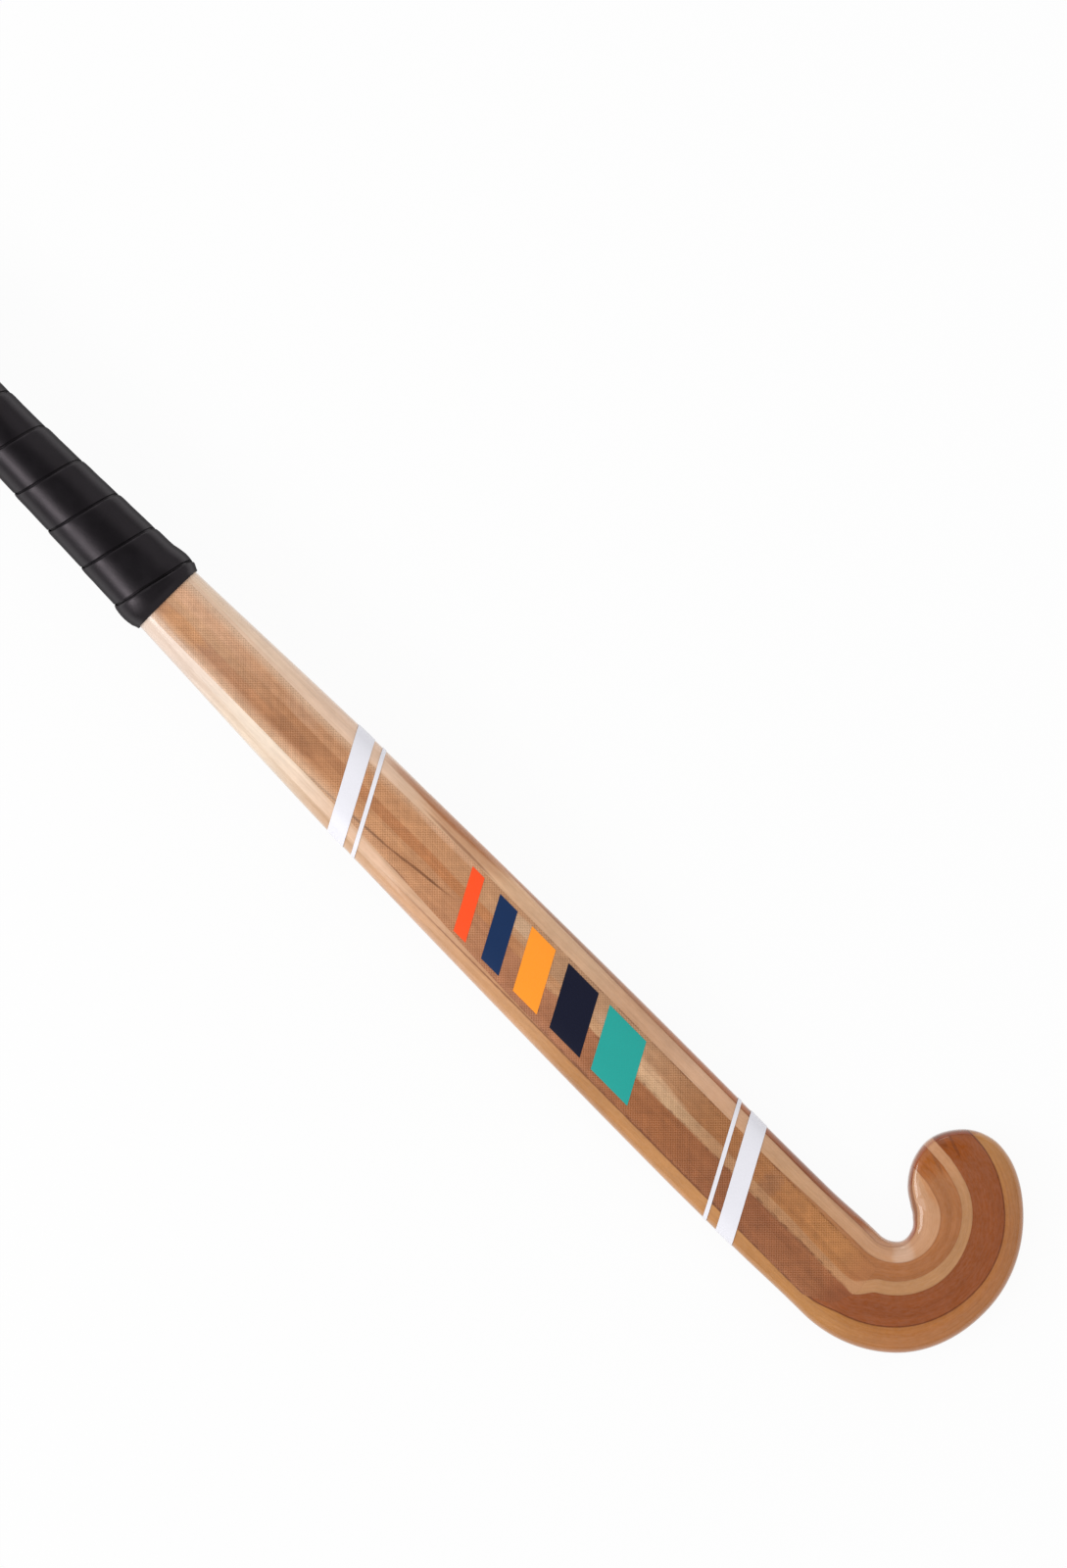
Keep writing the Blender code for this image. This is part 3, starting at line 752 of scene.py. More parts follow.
def toe_rim_painted_shade(shader, colour, rim):
    """Painted shade: the toe's end is darker at its rounded rim, where its side turns down, and inside it a
    fine reddish line of painted shade runs along the arris.
    """
    dark = shader.scaled(shader.between(rim, *RIM_SHADE), RIM_SHADE_DARKNESS)
    colour = shader.mix(dark, colour, shader.tinted(colour, DEEP_TINT))
    off_line = shader.math("ABSOLUTE", shader.minus(rim, ARRIS_SHADE_LINE))
    share = shader.scaled(shader.between(off_line, *ARRIS_SHADE_EDGE), ARRIS_SHADE_STRENGTH)
    return shader.mix(share, colour, rgb(*ARRIS_SHADE_COLOUR))


# Glue lines: their tint, where they fade out towards the grip, and their least and added width
GLUE_TINT = (0.42, 0.30, 0.26)
GLUE_FADE = (0.34, 0.27)
GLUE_WIDTH = 0.0002
GLUE_SPREAD = 0.0007


def wood_material(name, wood):
    shader = Shader(name)
    grain = shader.attribute("grain")
    wobble = shader.noise(grain, WOBBLE, detail=2.0)
    colour = along_colour(shader, wood.colours)
    colour = add_streaks(shader, colour, wood.streaks, wobble)
    colour, fine = grained(shader, grain, colour, wood.rings)
    flecks = shader.noise(grain, FLECKS, detail=2.0, shift=(5.2, 8.3, 1.1))
    colour = shader.lightened(colour, shader.centred(flecks, FLECK_CONTRAST))
    low, high, rim = shader.parts(shader.attribute("sides"))
    uneven = shader.noise(shader.place(), UNEVEN, detail=2.0)
    # Painted shade at the toe's rim and along its arris
    colour = toe_rim_painted_shade(shader, colour, shader.plus(rim, shader.centred(uneven, 0.0004)))
    width = shader.scaled(uneven, GLUE_SPREAD, GLUE_WIDTH)
    x, _ = measured_place(shader)
    faded = shader.between(x, *GLUE_FADE)
    for distance, line in ((low, wood.low_line), (high, wood.high_line)):
        share = shader.scaled(shader.between(shader.math("DIVIDE", distance, width), 1.0, 0.2), line)
        colour = shader.mix(shader.times(share, faded), colour, shader.tinted(colour, GLUE_TINT))
    shader.set(Base_Color=colour, Normal=shader.bump(fine, FIBRE_DEPTH))
    lacquer(shader)
    return shader.material


# How a ply looks. Its colours are (distance from the head's end, red, green, blue) in metres and
# screen values. Its soft streaks are (distance, place out from the axis, length, width, tilt, colour,
# strength). Then come how many year rings cross it and how dark the glue lines beside it are.
Wood = namedtuple("Wood", "colours streaks rings low_line high_line")

WOODS = {
    "edge_ply": Wood(
        [
            (0.045, 154, 92, 64), (0.070, 158, 96, 62), (0.105, 137, 73, 36), (0.150, 162, 95, 54),
            (0.240, 166, 112, 72), (0.300, 188, 122, 74), (0.350, 200, 156, 120),
        ],
        [
            (0.051, 0.027, 0.034, 0.016, 0.0, (188, 142, 110), 0.9),
            (0.060, 0.0475, 0.026, 0.010, 0.45, (146, 102, 76), 0.9),
        ],
        rings=24, low_line=0.0, high_line=0.35,
    ),
    "inner_ply": Wood(
        [
            (0.045, 186, 138, 102), (0.105, 191, 147, 110), (0.150, 198, 154, 121), (0.165, 204, 162, 130),
            (0.205, 198, 154, 120), (0.235, 206, 166, 132), (0.310, 210, 166, 128), (0.370, 218, 185, 160),
            (0.475, 224, 197, 172),
        ],
        [
            (0.052, 0.058, 0.030, 0.010, 0.2, (184, 124, 78), 0.7),
            # A painted highlight: the paler soft patch on the crook's inside, where it catches the light
            (0.044, 0.0275, 0.014, 0.011, 1.0, (212, 184, 164), 0.38),
            (0.312, 0.0180, 0.060, 0.0070, -0.02, (178, 124, 86), 0.6),
            (0.322, 0.0204, 0.086, 0.0046, -0.02, (158, 96, 54), 0.8),
            (0.314, 0.0155, 0.052, 0.0018, 0.0, (138, 90, 60), 0.7),
        ],
        rings=14, low_line=0.3, high_line=0.3,
    ),
    "brown_ply": Wood(
        [
            (0.040, 163, 105, 64), (0.090, 172, 118, 78), (0.200, 178, 130, 94), (0.300, 192, 145, 106),
            (0.400, 217, 184, 158),
        ],
        [
            (0.070, 0.065, 0.028, 0.022, 0.2, (156, 86, 32), 0.9),
            (0.0628, 0.0669, 0.013, 0.0020, 0.32, (130, 78, 44), 0.6),
        ],
        rings=18, low_line=0.25, high_line=0.2,
    ),
    "light_ply": Wood(
        [(0.035, 176, 128, 87), (0.070, 187, 136, 98)], [], rings=14, low_line=0.2, high_line=0.3,
    ),
    "dark_ply": Wood(
        [
            (0.030, 141, 77, 41), (0.150, 150, 92, 56), (0.240, 178, 126, 86), (0.340, 208, 168, 136),
            (0.410, 217, 197, 176), (0.460, 209, 187, 171),
        ],
        [
            (0.066, 0.080, 0.024, 0.026, 0.0, (144, 73, 22), 0.9),
            (0.0628, 0.0777, 0.013, 0.0016, 0.32, (112, 56, 24), 0.6),
            (0.0695, 0.0747, 0.013, 0.0036, 0.05, (116, 58, 24), 0.6),
        ],
        rings=20, low_line=0.2, high_line=0.8,
    ),
    "heel_ply": Wood(
        [
            (0.010, 166, 105, 56), (0.060, 174, 119, 64), (0.150, 184, 130, 78), (0.200, 173, 120, 71),
            (0.240, 193, 142, 97), (0.310, 197, 152, 117), (0.350, 194, 156, 123), (0.410, 217, 197, 176),
            (0.460, 209, 187, 171),
        ],
        [], rings=16, low_line=0.8, high_line=0.0,
    ),
}
PLY_STEPS = {"edge_ply": 4, "inner_ply": 8, "brown_ply": 6, "light_ply": 4, "dark_ply": 8, "heel_ply": 12}

# The drawn sections: from one station to another, how many, close together where the stick bends
STRETCHES = [
    (-BUTT, -TAPER_END, 20), (-TAPER_END, -GRIP_START, 14), (-GRIP_START, -SHAFT_STATION, 60),
    (-SHAFT_STATION, 0, 28), (0, 180, 101), (180, 269, 40),
]
STATIONS = sorted({round(float(s), 6) for stretch in STRETCHES for s in np.linspace(*stretch)})

# How often the step in which a ply ends is halved to find its end
HALVINGS = 30


def ply_sides(ply, station):
    """The reach of a ply's two sides here, cut by the stick's outline."""
    lines = glue_lines(station)
    return max(inside(station), lines[ply]), min(outside(station), lines[ply + 1])


def ply_stations(ply):
    """The stations that a ply runs through, ending where the outline has cut it thin."""

    def wide(station):
        low, high = ply_sides(ply, station)
        return high - low > THINNEST_PLY

    def last_wide(good, thin):
        for _ in range(HALVINGS):
            middle = (good + thin) / 2
            good, thin = (middle, thin) if wide(middle) else (good, middle)
        return good

    kept = [s for s in STATIONS if wide(s)]
    first, last = STATIONS.index(kept[0]), STATIONS.index(kept[-1])
    if first > 0:
        kept.insert(0, last_wide(kept[0], STATIONS[first - 1]))
    if last < len(STATIONS) - 1:
        kept.append(last_wide(kept[-1], STATIONS[last + 1]))
    return kept


# Where the toe's end starts, along its inside and its outside. Its rim counts from one station on,
# and seems further off up to another.
TOE_END_STARTS = ((inside, 212), (outside, 172))
RIM_STATION = 150
RIM_FADE_STATION = 192
RIM_FADE_DEGREES = 20
RIM_FADE_DISTANCE = 0.005
FAR_OFF = 0.05


@functools.cache
def toe_outline():
    """Plan places along the outline of the toe's end."""
    return np.array([plan_point(s, edge(s)) for edge, start in TOE_END_STARTS for s in range(start, 271)])


def rim_distance(station, reach):
    """Distance in plan from the outline of the toe's end, and more where that end only starts."""
    if station < RIM_STATION:
        return FAR_OFF
    offsets = toe_outline() - np.array(plan_point(station, reach))
    added = RIM_FADE_DISTANCE * smooth_step((RIM_FADE_STATION - station) / RIM_FADE_DEGREES)
    return float(np.min(np.hypot(*offsets.T))) + added


def ply_ring(ply, station, steps):
    """One section of a ply: its points, the directions out of them and what its material reads."""
    low, high = ply_sides(ply, station)
    middle = (low + high) / 2
    lines = glue_lines(station)
    points, normals, grain, sides = [], [], [], []
    for side in (1, -1):
        turns = np.linspace(turn_at(station, side, low), turn_at(station, side, high), steps + 1)
        for turn in turns[::side]:
            reach, height = skin_place(station, side, turn)
            points.append(placed(station, reach, height))
            normals.append(skin_normal(station, side, turn))
            grain.append((path_length(station, middle), reach - middle, height))
            to_low, to_high = min(reach - lines[ply], 1.0), min(lines[ply + 1] - reach, 1.0)
            sides.append((to_low, to_high, rim_distance(station, reach)))
    return points, normals, grain, sides


def open_side(ply, heel_side):
    """True for the outermost plies' outer sides, which are the stick's own edges."""
    return ply == (len(WOODS) - 1 if heel_side else 0)


def make_ply(ply, name, steps, wood):
    """A ply as a closed body whose outer skin is smooth across the plies beside it."""
    rings = [ply_ring(ply, station, steps) for station in ply_stations(ply)]
    vertices, outward, grain, sides = ([v for ring in rings for v in ring[k]] for k in range(4))
    count = 2 * (steps + 1)
    faces, normals = [*grid_faces(len(rings), count, count)], []

    def flat(corners):
        a, b, c = (vertices[i] for i in corners)
        return (b - a).cross(c - a)

    for corners in faces:
        k = corners[0] % count
        if k in (steps, count - 1) and not open_side(ply, k == steps):
            normals.extend([flat(corners[:3])] * 4)
        else:
            normals.extend(outward[i] for i in corners)
    for cap in end_caps(len(vertices), count):
        faces.append(cap)
        normals.extend([flat((cap[0], cap[steps // 2], cap[steps + 1]))] * count)
    piece = new_object(f"{name}_wood", vertices, faces, wood_material(f"{name}_wood", wood), normals)
    store_vectors(piece, grain=grain, sides=sides)
    finish_piece(piece, name, name)


def make_plies():
    for ply, (name, wood) in enumerate(WOODS.items()):
        make_ply(ply, name, PLY_STEPS[name], wood)


# Near the head the weave fades in between these distances from its end
CLOTH_FADE = (0.046, 0.064)

# What shows through the cloth: the plies' colours and the streaks that cross them, as a wood's
BROWN_UNDER = [
    (0.049, 165, 107, 66), (0.066, 170, 114, 68), (0.135, 162, 108, 67), (0.210, 178, 137, 104),
    (0.340, 190, 138, 98), (0.400, 183, 134, 98), (0.470, 199, 154, 122),
]
LIGHT_UNDER = [
    (0.049, 181, 131, 92), (0.066, 170, 122, 84), (0.135, 176, 131, 94), (0.165, 190, 152, 116),
    (0.300, 182, 121, 78), (0.400, 168, 118, 82), (0.460, 190, 146, 112),
]
DARK_UNDER = [
    (0.051, 139, 80, 48), (0.064, 150, 94, 60), (0.110, 142, 88, 57), (0.165, 155, 98, 61),
    (0.240, 166, 110, 78), (0.340, 190, 138, 98), (0.400, 175, 122, 84), (0.470, 174, 129, 100),
]
CLOTH_STREAKS = [
    (0.108, 0.008, 0.012, 0.014, 0.0, (140, 96, 68), 0.6),
    (0.182, 0.004, 0.060, 0.007, 0.04, (202, 162, 126), 0.7),
    (0.205, 0.006, 0.030, 0.006, 0.0, (198, 158, 126), 0.6),
    (0.262, 0.010, 0.030, 0.007, 0.0, (196, 164, 134), 0.7),
    (0.336, -0.0082, 0.064, 0.0070, -0.13, (168, 114, 76), 0.5),
    (0.3165, -0.0055, 0.044, 0.0017, -0.12, (112, 70, 44), 0.8),
    (0.3465, -0.0086, 0.050, 0.0017, -0.07, (112, 70, 44), 0.8),
    (0.374, -0.0102, 0.032, 0.0014, -0.05, (120, 78, 50), 0.7),
    (0.326, -0.0131, 0.022, 0.0024, -0.05, (144, 98, 70), 0.7),
    (0.402, 0.008, 0.024, 0.010, 0.1, (190, 150, 122), 0.4),
    (0.318, 0.0136, 0.060, 0.0046, 0.02, (208, 164, 132), 0.6),
    (0.400, -0.003, 0.034, 0.009, 0.0, (154, 106, 74), 0.6),
    (0.466, -0.004, 0.030, 0.011, 0.0, (196, 142, 98), 0.7),
]
CLOTH_RINGS = 16
WEAVE_PITCH = 0.00105
THREAD_CONTRAST = 0.044


def weave(shader):
    """Height of a plain weave whose threads run at 45 degrees to the shaft, from 0 to 1."""
    turned = shader.stretch(shader.place(), (1 / WEAVE_PITCH,) * 3, turn=math.pi / 4)
    ways = shader.parts(turned)[:2]
    first, second = (
        shader.scaled(shader.math("COSINE", shader.times(way, 2 * math.pi)), 0.5, 0.5) for way in ways
    )
    crossing = shader.times(*(shader.math("SINE", shader.times(way, math.pi)) for way in ways))
    return shader.mix_numbers(shader.between(crossing, -0.15, 0.15), second, first)


def thread_streaks(shader):
    """How much each run of threads differs from the next, both ways across the cloth, about 1."""
    shade = 1.0
    for turn in (math.pi / 4, -math.pi / 4):
        turned = shader.stretch(shader.place(), (1, 1, 1), turn=turn)
        runs = shader.noise(turned, (0.45 / WEAVE_PITCH, 0.05 / WEAVE_PITCH, 1), roughness=0.7)
        shade = shader.times(shader.scaled(runs, 0.44, 0.78), shade)
    return shade


# Near the grip the cloth is painted paler towards its soft rims, in the pale wood's colour: partly the wood
# beside the cloth showing through, partly a painted sheen where the rounded sides catch the light. The rims
# are this wide on the toe's and the heel's side, and this strong.
PALE_RIM_SHEEN_COLOUR = (220, 193, 166)
RIM_FADE = (0.30, 0.40)
TOE_RIM = (0.0045, 0.5)
HEEL_RIM = (0.0065, 0.45)


def pale_rims_and_sheen(shader, colour, rims):
    x, _ = measured_place(shader)
    upper = shader.between(x, *RIM_FADE)
    toe_share, heel_share = (
        shader.scaled(shader.between(rim, width, 0.0), strength)
        for rim, (width, strength) in zip(rims, (TOE_RIM, HEEL_RIM))
    )
    share = shader.times(shader.math("MAXIMUM", toe_share, heel_share), upper)
    # Pale wood's colour and painted sheen towards the cloth's rims
    return shader.mix(share, colour, rgb(*PALE_RIM_SHEEN_COLOUR))


# The broken dark lines: their edge, how often they break, how dark they are and where they fade out
DASH_EDGE = (0.0009, 0.0002)
DASH_BREAKS = (240, 400, 400)
DASH_DARKNESS = 0.6
DASH_FADE = (0.30, 0.20)


def rim_dashes(shader, colour, rims, dark):
    """Towards the head the cloth's rims, and the dark ply's edge under it, show as broken dark lines."""
    x, _ = measured_place(shader)
    nearest = shader.math("MINIMUM", shader.math("MINIMUM", *rims), shader.math("ABSOLUTE", dark))
    breaks = shader.noise(shader.place(), DASH_BREAKS, detail=2.0)
    broken = shader.scaled(shader.between(breaks, 0.42, 0.60), DASH_DARKNESS)
    share = shader.times(shader.between(nearest, *DASH_EDGE), broken)
    for fade in (DASH_FADE, CLOTH_FADE):
        share = shader.times(share, shader.between(x, *fade))
    return shader.mix(share, colour, shader.tinted(colour, GLUE_TINT))


def cloth_material(name, streaks):
    """Glass cloth gone clear in the lacquer: the plies' colours show through it, with its weave."""
    shader = Shader(name)
    grain = shader.attribute("grain")
    _, brown, dark = shader.parts(shader.attribute("sides"))
    rims = shader.parts(shader.attribute("rims"))[:2]
    wobble = shader.noise(grain, WOBBLE, detail=2.0)
    waver = shader.centred(wobble, 0.0030)
    colour = along_colour(shader, BROWN_UNDER)
    for distance, stops in ((brown, LIGHT_UNDER), (dark, DARK_UNDER)):
        share = shader.between(shader.plus(distance, waver), -0.0006, 0.0006)
        colour = shader.mix(share, colour, along_colour(shader, stops))
    colour = add_streaks(shader, colour, streaks, wobble)
    # Pale rims: partly the pale wood, partly painted sheen
    colour = rim_dashes(shader, pale_rims_and_sheen(shader, colour, rims), rims, dark)
    colour, _ = grained(shader, grain, colour, CLOTH_RINGS)
    threads = weave(shader)
    shade = shader.times(shader.scaled(threads, 0.32, 0.84), thread_streaks(shader))
    x, _ = measured_place(shader)
    faded = shader.between(x, *CLOTH_FADE)
    shade = shader.scaled(shader.minus(shade, 1.0), faded, 1.0)
    pale = shader.times(shader.centred(threads, THREAD_CONTRAST), faded)
    colour = shader.lightened(shader.dimmed(colour, shade), pale)
    shader.set(Base_Color=colour, Normal=shader.bump(threads, WEAVE_DEPTH))
    lacquer(shader)
    return shader.material


def cloth_start(out, head_end):
    """Distance up the shaft at which the cloth's ragged head end lies."""
    side, curve = (CLOTH_TOE_SIDE, CLOTH_TOE_CURVE) if out > 0 else (CLOTH_HEEL_SIDE, CLOTH_HEEL_CURVE)
    rag = CLOTH_END_RAG * (math.sin(out * 5200) + math.sin(out * 9100 + 1.0))
    return head_end + curve * (out / side) ** 2 + rag


CLOTH_ROWS = 200
CLOTH_COLUMNS = 24
RIM_LIFT = 0.4


def make_cloth(name, side, head_end, node, streaks):
    """A strip of cloth that lies on the wood, with its threads cut across at the head."""
    points, normals, grain, sides, rims = [], [], [], [], []
    for row in range(CLOTH_ROWS + 1):
        share = row / CLOTH_ROWS
        width_at = head_end + share * (CLOTH_END - head_end)
        toe_side, heel_side = cloth_toe_side(-width_at), cloth_heel_side(-width_at)
        for k in range(CLOTH_COLUMNS + 1):
            out = toe_side - (toe_side + heel_side) * k / CLOTH_COLUMNS
            start = cloth_start(out, head_end)
            station, reach = station_at(start + share * (CLOTH_END - start), out)
            lift = CLOTH_LIFT * (RIM_LIFT if k in (0, CLOTH_COLUMNS) or row == 0 else 1.0)
            point, normal = raised(station, side, turn_at(station, side, reach), lift)
            points.append(point)
            normals.append(normal)
            grain.append((path_length(station, reach), reach - CROOK_OUT, point.z))
            sides.append([reach - line for line in glue_lines(station)[2:5]])
            rims.append((toe_side - out, out + heel_side, 0.0))
    piece = new_sheet(name, side, CLOTH_COLUMNS, points, normals, cloth_material(name, streaks))
    store_vectors(piece, grain=grain, sides=sides, rims=rims)
    finish_piece(piece, "glass_cloth", node)


def make_cloths():
    make_cloth("back_cloth", 1, BACK_CLOTH_START, "back_glass_cloth", CLOTH_STREAKS)
    make_cloth("face_cloth", -1, FACE_CLOTH_START, "face_glass_cloth", [])


# Painted marks: slanted bands across the shaft and a row of plain slanted bars, each with its distance
# from the head's end and its width
PAINT_LIFT = 0.00026
MARK_SLANT = 0.55
MARK_ROWS = 8
MARK_COLUMNS = 40
WHITE = (226, 225, 232)
BANDS = [(0.1185, 0.0100), (0.1305, 0.0022), (0.3640, 0.0100), (0.3530, 0.0022)]
BARS = [
    (0.196, 0.0230, (20, 160, 150)),
    (0.224, 0.0190, (6, 12, 42)),
    (0.249, 0.0150, (255, 150, 26)),
    (0.271, 0.0110, (0, 42, 88)),
    (0.290, 0.0075, (252, 76, 10)),
]
BAR_REACH = 0.0130


def paint_material(name, screen_colour):
    """Flat paint under the lacquer, faintly uneven over the weave."""
    shader = Shader(name)
    cloudy = shader.noise(shader.place(), (90, 90, 90))
    speck = shader.noise(shader.place(), (1500, 1500, 1500), detail=2.0)
    colour = shader.dimmed(rgb(*screen_colour), shader.scaled(shader.plus(cloudy, speck), 0.05, 0.95))
    shader.set(Base_Color=colour, Normal=shader.bump(weave(shader), PAINT_WEAVE_DEPTH), Roughness=0.45)
    shader.set(Coat_Weight=0.35, Coat_Roughness=0.2, Specular_IOR_Level=0.3)
    return shader.material


def painted_mark(name, x, width, reach, screen_colour):
    """A slanted stripe on the back, this far to both sides of the axis, or from edge to edge."""
    points, normals = [], []
    for row in range(MARK_ROWS + 1):
        for k in range(MARK_COLUMNS + 1):
            share = k / MARK_COLUMNS
            turn = 2 * share - 1
            if reach is None:
                out = CROOK_OUT - skin_place(BASE_REACH - x, 1, turn)[0]
            else:
                out = reach - 2 * reach * share
            along = x - BASE_REACH + (row / MARK_ROWS - 0.5) * width + MARK_SLANT * out
            station, _ = station_at(along, out)
            if reach is not None:
                turn = turn_at(station, 1, CROOK_OUT - out)
            point, normal = raised(station, 1, turn, PAINT_LIFT)
            points.append(point)
            normals.append(normal)
    piece = new_sheet(name, 1, MARK_COLUMNS, points, normals, paint_material(name, screen_colour))
    finish_piece(piece, "glass_cloth")


def make_marks():
    for k, (x, width) in enumerate(BANDS):
        painted_mark(f"white_band_{k + 1}", x, width, None, WHITE)
    for k, (x, width, screen_colour) in enumerate(BARS):
        painted_mark(f"colour_bar_{k + 1}", x, width, BAR_REACH, screen_colour)


# How finely the handle is measured under the grip, along it, round it and across its back or face
RADIUS_STEPS = 90
RADIUS_TURNS = 96
RING_POINTS = 121


@functools.cache
def handle_radii():
    """Distance from the handle's middle to its surface, for places along it and turns round it."""
    places = np.linspace(GRIP_START - 0.001, BUTT, RADIUS_STEPS)
    angles = np.linspace(0, 2 * math.pi, RADIUS_TURNS, endpoint=False)
    radii = np.zeros((RADIUS_STEPS, RADIUS_TURNS))
    for i, along in enumerate(places):
        station = -float(along)
        cut = section(station)
        ring = []
        for side in (1, -1):
            for turn in np.linspace(1, -1, RING_POINTS):
                reach, height = skin_place(station, side, side * float(turn))
                ring.append((CROOK_OUT - reach, height - cut.rise - cut.edge))
        out, up = np.array(ring).T
        turned = np.unwrap(np.arctan2(up, out))
        order = np.argsort(turned)
        radii[i] = np.interp(angles, turned[order], np.hypot(out, up)[order], period=2 * math.pi)
    return places, radii


def handle_radius(along, angle):
    """The radius between the measured ones."""
    places, radii = handle_radii()
    row = np.interp(along, places, np.arange(RADIUS_STEPS))
    column = (angle / (2 * math.pi) % 1.0) * RADIUS_TURNS
    i = min(int(row), RADIUS_STEPS - 2)
    k = int(column) % RADIUS_TURNS
    following = (k + 1) % RADIUS_TURNS
    s, t = row - i, column - int(column)
    near = radii[i, k] * (1 - t) + radii[i, following] * t
    far = radii[i + 1, k] * (1 - t) + radii[i + 1, following] * t
    return near * (1 - s) + far * s


def grip_point(along, angle, offset):
    """A point this far off the handle's surface, straight out from it."""
    nudge = 0.05
    radii = [handle_radius(along, angle + turn) for turn in (-nudge, 0.0, nudge)]
    offset += chord_dip(radii[1])
    lean = angle - math.atan((radii[2] - radii[0]) / (2 * nudge) / radii[1])
    out = radii[1] * math.cos(angle) + offset * math.cos(lean)
    height = radii[1] * math.sin(angle) + offset * math.sin(lean)
    cut = section(-along)
    return placed(-along, CROOK_OUT - out, cut.rise + cut.edge + height)


def tape_offset(along):
    """How far the tape's outside stands off the wood, with its cut end thinned and its bead."""
    cut = smooth_step((along - GRIP_START) / TAPE_CUT_LENGTH)
    share = TAPE_CUT_SHARE + (1 - TAPE_CUT_SHARE) * cut
    t = (along - GRIP_START - BEAD_FROM_END) / BEAD_HALF_LENGTH
    bead = BEAD_HEIGHT * math.cos(math.pi / 2 * t) ** 2 if abs(t) < 1 else 0.0
    return TAPE_GAP + TAPE_THICKNESS * share + bead


LUMP_HEIGHT = 0.00010
FOLD_HEIGHT = 0.00004


def stretch_marks(along, angle):
    """Small unevenness of hand-wound tape: soft lumps, and folds that run with the pull."""
    place = Vector((along * 55, math.cos(angle) * 0.9, math.sin(angle) * 0.9))
    pull = Vector((along * 260 + angle * 0.9, angle * 0.8, 3.0))
    return LUMP_HEIGHT * noise.noise(place) + FOLD_HEIGHT * noise.noise(pull)


# Across the tape: the share from its head edge to its butt edge, an inset from the nearer edge in
# metres, and how much of its thickness is there. Both edges are rounded, and the thinned edges of
# one turn and the next lap each other under the seam.
TAPE_PROFILE = [
    (0.0, -TAPE_SKIVE, 0.02), (0.0, -0.0009, 0.22), (0.0, -0.0002, 0.30), (0.0, 0.0, 0.52),
    (0.0, 0.0001, 0.76), (0.0, 0.0003, 0.91), (0.0, 0.0008, 0.985),
    *((share, 0.0, 1.0) for share in (0.09, 0.2, 0.35, 0.5, 0.65, 0.8, 0.91)),
    (1.0, -0.0008, 0.985), (1.0, -0.0003, 0.92), (1.0, -0.0001, 0.80), (1.0, 0.0, 0.62),
    (1.0, -0.0002, 0.50), (1.0, -TAPE_SKIVE, 0.12), (1.0, -TAPE_SKIVE - 0.0002, 0.0), (0.5, 0.0, 0.0),
]
TUCKED_INSET = -0.001
NARROW_TAPE = 0.006


def grip_ring(wound):
    """One section across the tape, from its head edge to its butt edge, closed underneath."""
    angle = -wound
    seam = BUTT + TAPE_PITCH + SEAM_PHASE - TAPE_PITCH * wound / (2 * math.pi)
    head = min(max(seam - TAPE_PITCH + TAPE_SEAM, GRIP_START), BUTT)
    butt = min(max(seam, GRIP_START), BUTT)
    full = min((butt - head) / NARROW_TAPE, 1.0)
    lap_ends = smooth_step((BUTT - butt) / TAPE_CUT_LENGTH)
    points = []
    for share, inset, fullness in TAPE_PROFILE:
        along = head + (butt - head) * share
        if share == 0.0:
            along += min(inset, 0.0)
        elif share == 1.0 and inset < TUCKED_INSET:
            along += inset * lap_ends
        else:
            along += inset * full
        along = min(max(along, GRIP_START), BUTT)
        step = TAPE_STEP * smooth_step((share - 0.55) / 0.4) * lap_ends
        crown = TAPE_CROWN * math.sin(math.pi * share)
        height = tape_offset(along) + step + crown + stretch_marks(along, angle)
        height = TAPE_GAP + (height - TAPE_GAP) * fullness
        points.append(grip_point(along, angle, height))
    return points


TAPE_COLOURS = ((0.0042, 0.0036, 0.0046), (0.0066, 0.0058, 0.0072))
TAPE_GRAIN_DEPTH = 0.00003


def tape_material():
    """Black soft polyurethane: satin, faintly grained, and duller where it is seen at a slant."""
    shader = Shader("grip_tape")
    place = shader.place()
    grain = shader.noise(place, (1400, 1400, 1400), detail=2.0, roughness=0.6)
    smudge = shader.noise(place, (70, 110, 110))
    colour = shader.mix(shader.between(smudge, 0.35, 0.7), *TAPE_COLOURS)
    slant = shader.node("LayerWeight", {"Blend": 0.5}).outputs["Facing"]
    dull = shader.scaled(shader.between(slant, 0.35, 0.75), 0.45)
    rough = shader.plus(shader.scaled(smudge, 0.12, 0.26), dull)
    shader.set(Base_Color=colour, Roughness=rough, Normal=shader.bump(grain, TAPE_GRAIN_DEPTH))
    shader.set(Specular_IOR_Level=0.42, Specular_Tint=(1.0, 0.88, 0.96))
    return shader.material


def make_grip():
    per_metre = 2 * math.pi / TAPE_PITCH
    start = (SEAM_PHASE + TAPE_SEAM + TAPE_START) * per_metre
    end = (GRIP_LENGTH + TAPE_PITCH + SEAM_PHASE - TAPE_END) * per_metre
    count = int((end - start) / (2 * math.pi) * TURN_POINTS)
    rings = [grip_ring(start + (end - start) * k / count) for k in range(count + 1)]
    width = len(TAPE_PROFILE)
    points = [p for ring in rings for p in ring]
    faces = [(a, d, c, b) for a, b, c, d in grid_faces(len(rings), width, width)]
    faces.extend(cap[::-1] for cap in end_caps(len(points), width))
    piece = new_object("grip_winding", points, faces, tape_material())
    piece.data.set_sharp_from_angle(angle=math.radians(50))
    finish_piece(piece, "grip_tape", "grip_tape")


# How far the floor is shown white by itself: the rest of it takes the light and the stick's shadow
FLOOR_GLOW = 0.94
FLOOR_HEIGHT = -0.0002
FLOOR_REACH = 20
FLOOR_GREY = (0.72, 0.72, 0.72)
PURE_WHITE = (1.0, 1.0, 1.0)


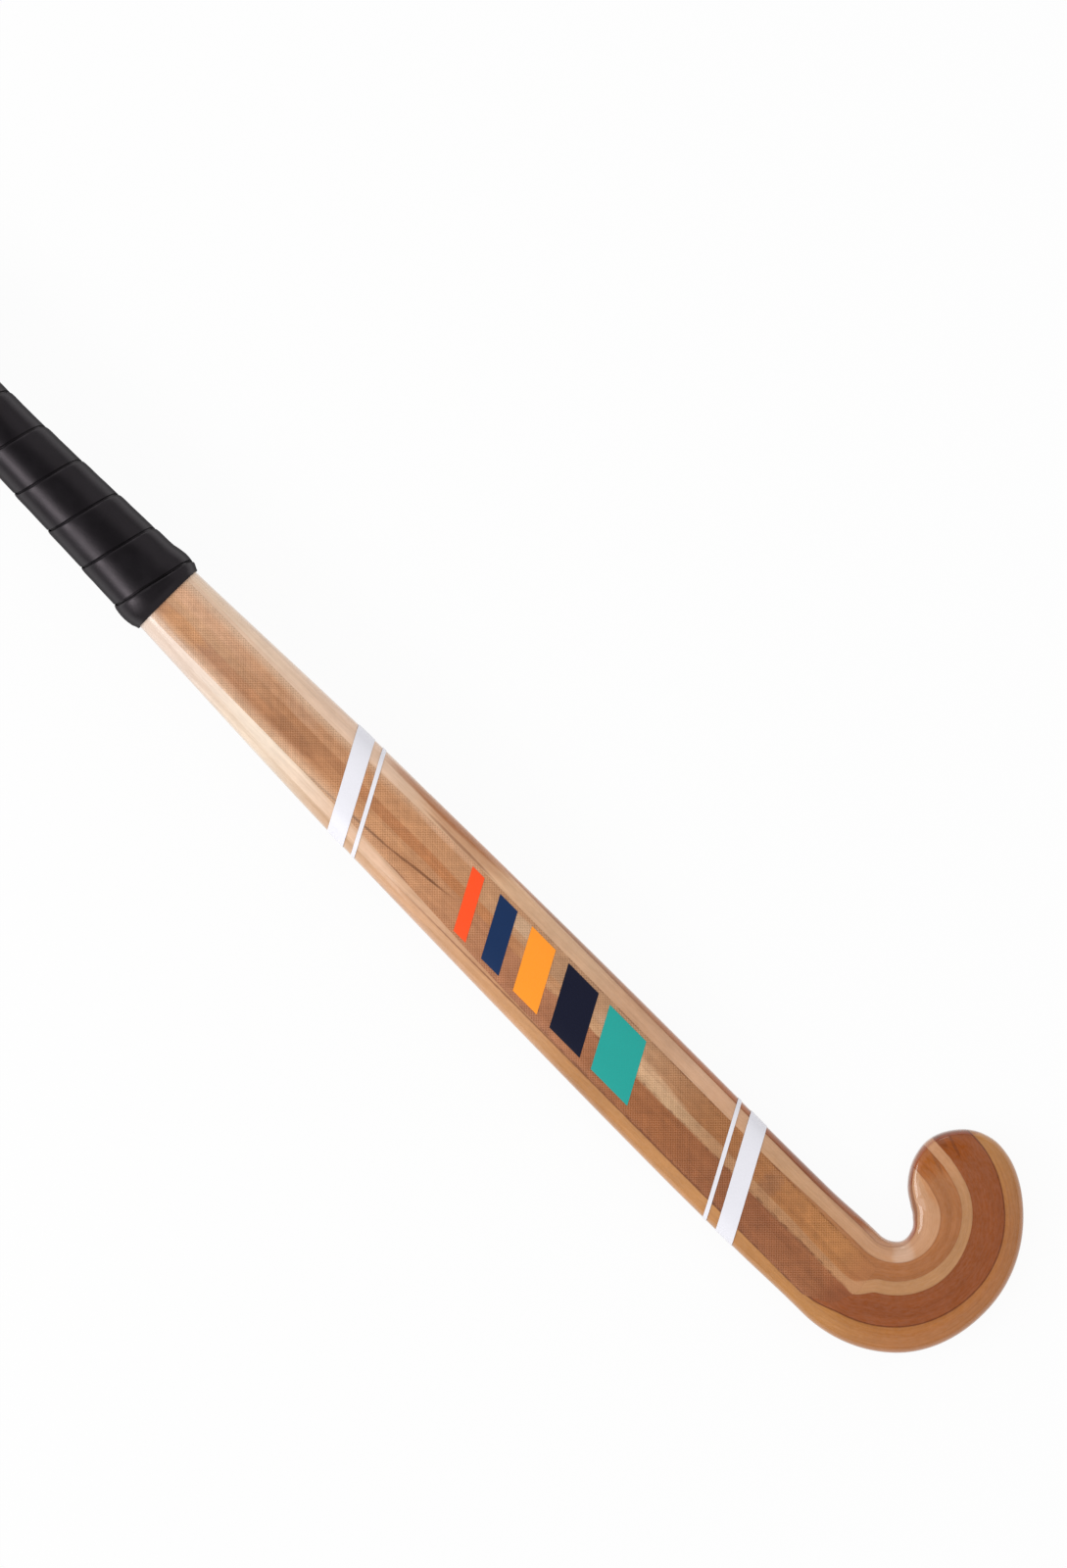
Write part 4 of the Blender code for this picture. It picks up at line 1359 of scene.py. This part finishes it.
def make_floor():
    """A large pale floor. The camera sees it white, and what the stick keeps off it stays as a shadow."""
    shader = Shader("floor")
    shader.set(Base_Color=FLOOR_GREY, Roughness=0.9, Specular_IOR_Level=0.1)
    rays = shader.node("LightPath").outputs
    white = shader.node("Emission", {"Color": PURE_WHITE, "Strength": 1.0})
    seen = shader.math("MAXIMUM", rays["Is Camera Ray"], rays["Is Transmission Ray"])
    seen = shader.math("MAXIMUM", seen, rays["Is Glossy Ray"])
    inputs = {0: shader.times(seen, FLOOR_GLOW), 1: shader.surface.outputs[0], 2: white.outputs[0]}
    blend = shader.node("MixShader", inputs)
    shader.give(shader.tree.nodes["Material Output"].inputs["Surface"], blend.outputs[0])
    plan = ((-1, -1), (1, -1), (1, 1), (-1, 1))
    corners = [(FLOOR_REACH * x, FLOOR_REACH * y, FLOOR_HEIGHT) for x, y in plan]
    floor = new_object("floor", corners, [(0, 1, 2, 3)], shader.material)


# The studio: its even light, how bright it mirrors from halfway up (height, strength) to overhead,
# and how much of that is left at the horizon
SOFT_LIGHT = 0.9
MIRRORED_LIGHT = (0.77, 0.95, 0.55, 0.10)
DIM_HORIZON = (0.0, 0.35, 0.4, 1.0)


def make_world():
    """A studio of even soft light that mirrors as bright round the sides and dim overhead."""
    world = bpy.data.worlds.new("studio")
    bpy.context.scene.world = world
    world.use_nodes = True
    nodes = Nodes(world.node_tree)
    background = nodes.tree.nodes["Background"]
    _, _, height = nodes.parts(nodes.node("TexCoord").outputs["Generated"])
    mirrored = nodes.times(nodes.between(height, *MIRRORED_LIGHT), nodes.between(height, *DIM_HORIZON))
    rays = nodes.node("LightPath").outputs
    lit = nodes.mix_numbers(rays["Is Glossy Ray"], SOFT_LIGHT, mirrored)
    direct = nodes.math("MAXIMUM", rays["Is Camera Ray"], rays["Is Transmission Ray"])
    nodes.give(background.inputs["Color"], PURE_WHITE)
    nodes.give(background.inputs["Strength"], nodes.mix_numbers(direct, lit, 1.0))


# Lamps: name, place, aim, width, height and brightness
SOFTBOXES = [
    ("key_softbox", (-1.1, -1.28, 1.0), (-1.1, 0.0, 0.0), 2.0, 0.5, 5.2),
    ("neck_softbox", (0.07, -1.25, 1.0), (0.07, 0.0, 0.0), 0.4, 1.1, 1.8),
    ("left_softbox", (-1.6, 1.15, 0.70), (0.3, 0.0, 0.0), 0.8, 0.6, 1.6),
]


def make_softbox(name, place, aim, width, height, radiance):
    lamp = bpy.data.lights.new(name, "AREA")
    lamp.shape = "RECTANGLE"
    lamp.size = width
    lamp.size_y = height
    lamp.energy = radiance * math.pi * width * height
    made = bpy.data.objects.new(name, lamp)
    made.location = place
    made.rotation_euler = (Vector(aim) - Vector(place)).to_track_quat("-Z", "Y").to_euler()
    bpy.context.scene.collection.objects.link(made)


def make_camera():
    data = bpy.data.cameras.new("camera")
    data.lens = data.sensor_width * CAMERA_DISTANCE * PIXELS_PER_METRE / max(PICTURE_SIZE)
    data.clip_end = 100.0
    camera = bpy.data.objects.new("camera", data)
    right = Vector(PICTURE_RIGHT).normalized()
    back = Vector((0, 0, 1))
    turned = Matrix((right, back.cross(right), back)).transposed().to_4x4()
    aim = Vector(CAMERA_AIM) - Vector((*MIDDLE, 0.0))
    turned.translation = aim + back * CAMERA_DISTANCE
    camera.matrix_world = turned
    bpy.context.scene.collection.objects.link(camera)
    bpy.context.scene.camera = camera


def main():
    bpy.context.scene.view_settings.view_transform = "Standard"
    make_plies()
    make_cloths()
    make_marks()
    make_grip()
    make_floor()
    make_world()
    for softbox in SOFTBOXES:
        make_softbox(*softbox)
    make_camera()


main()
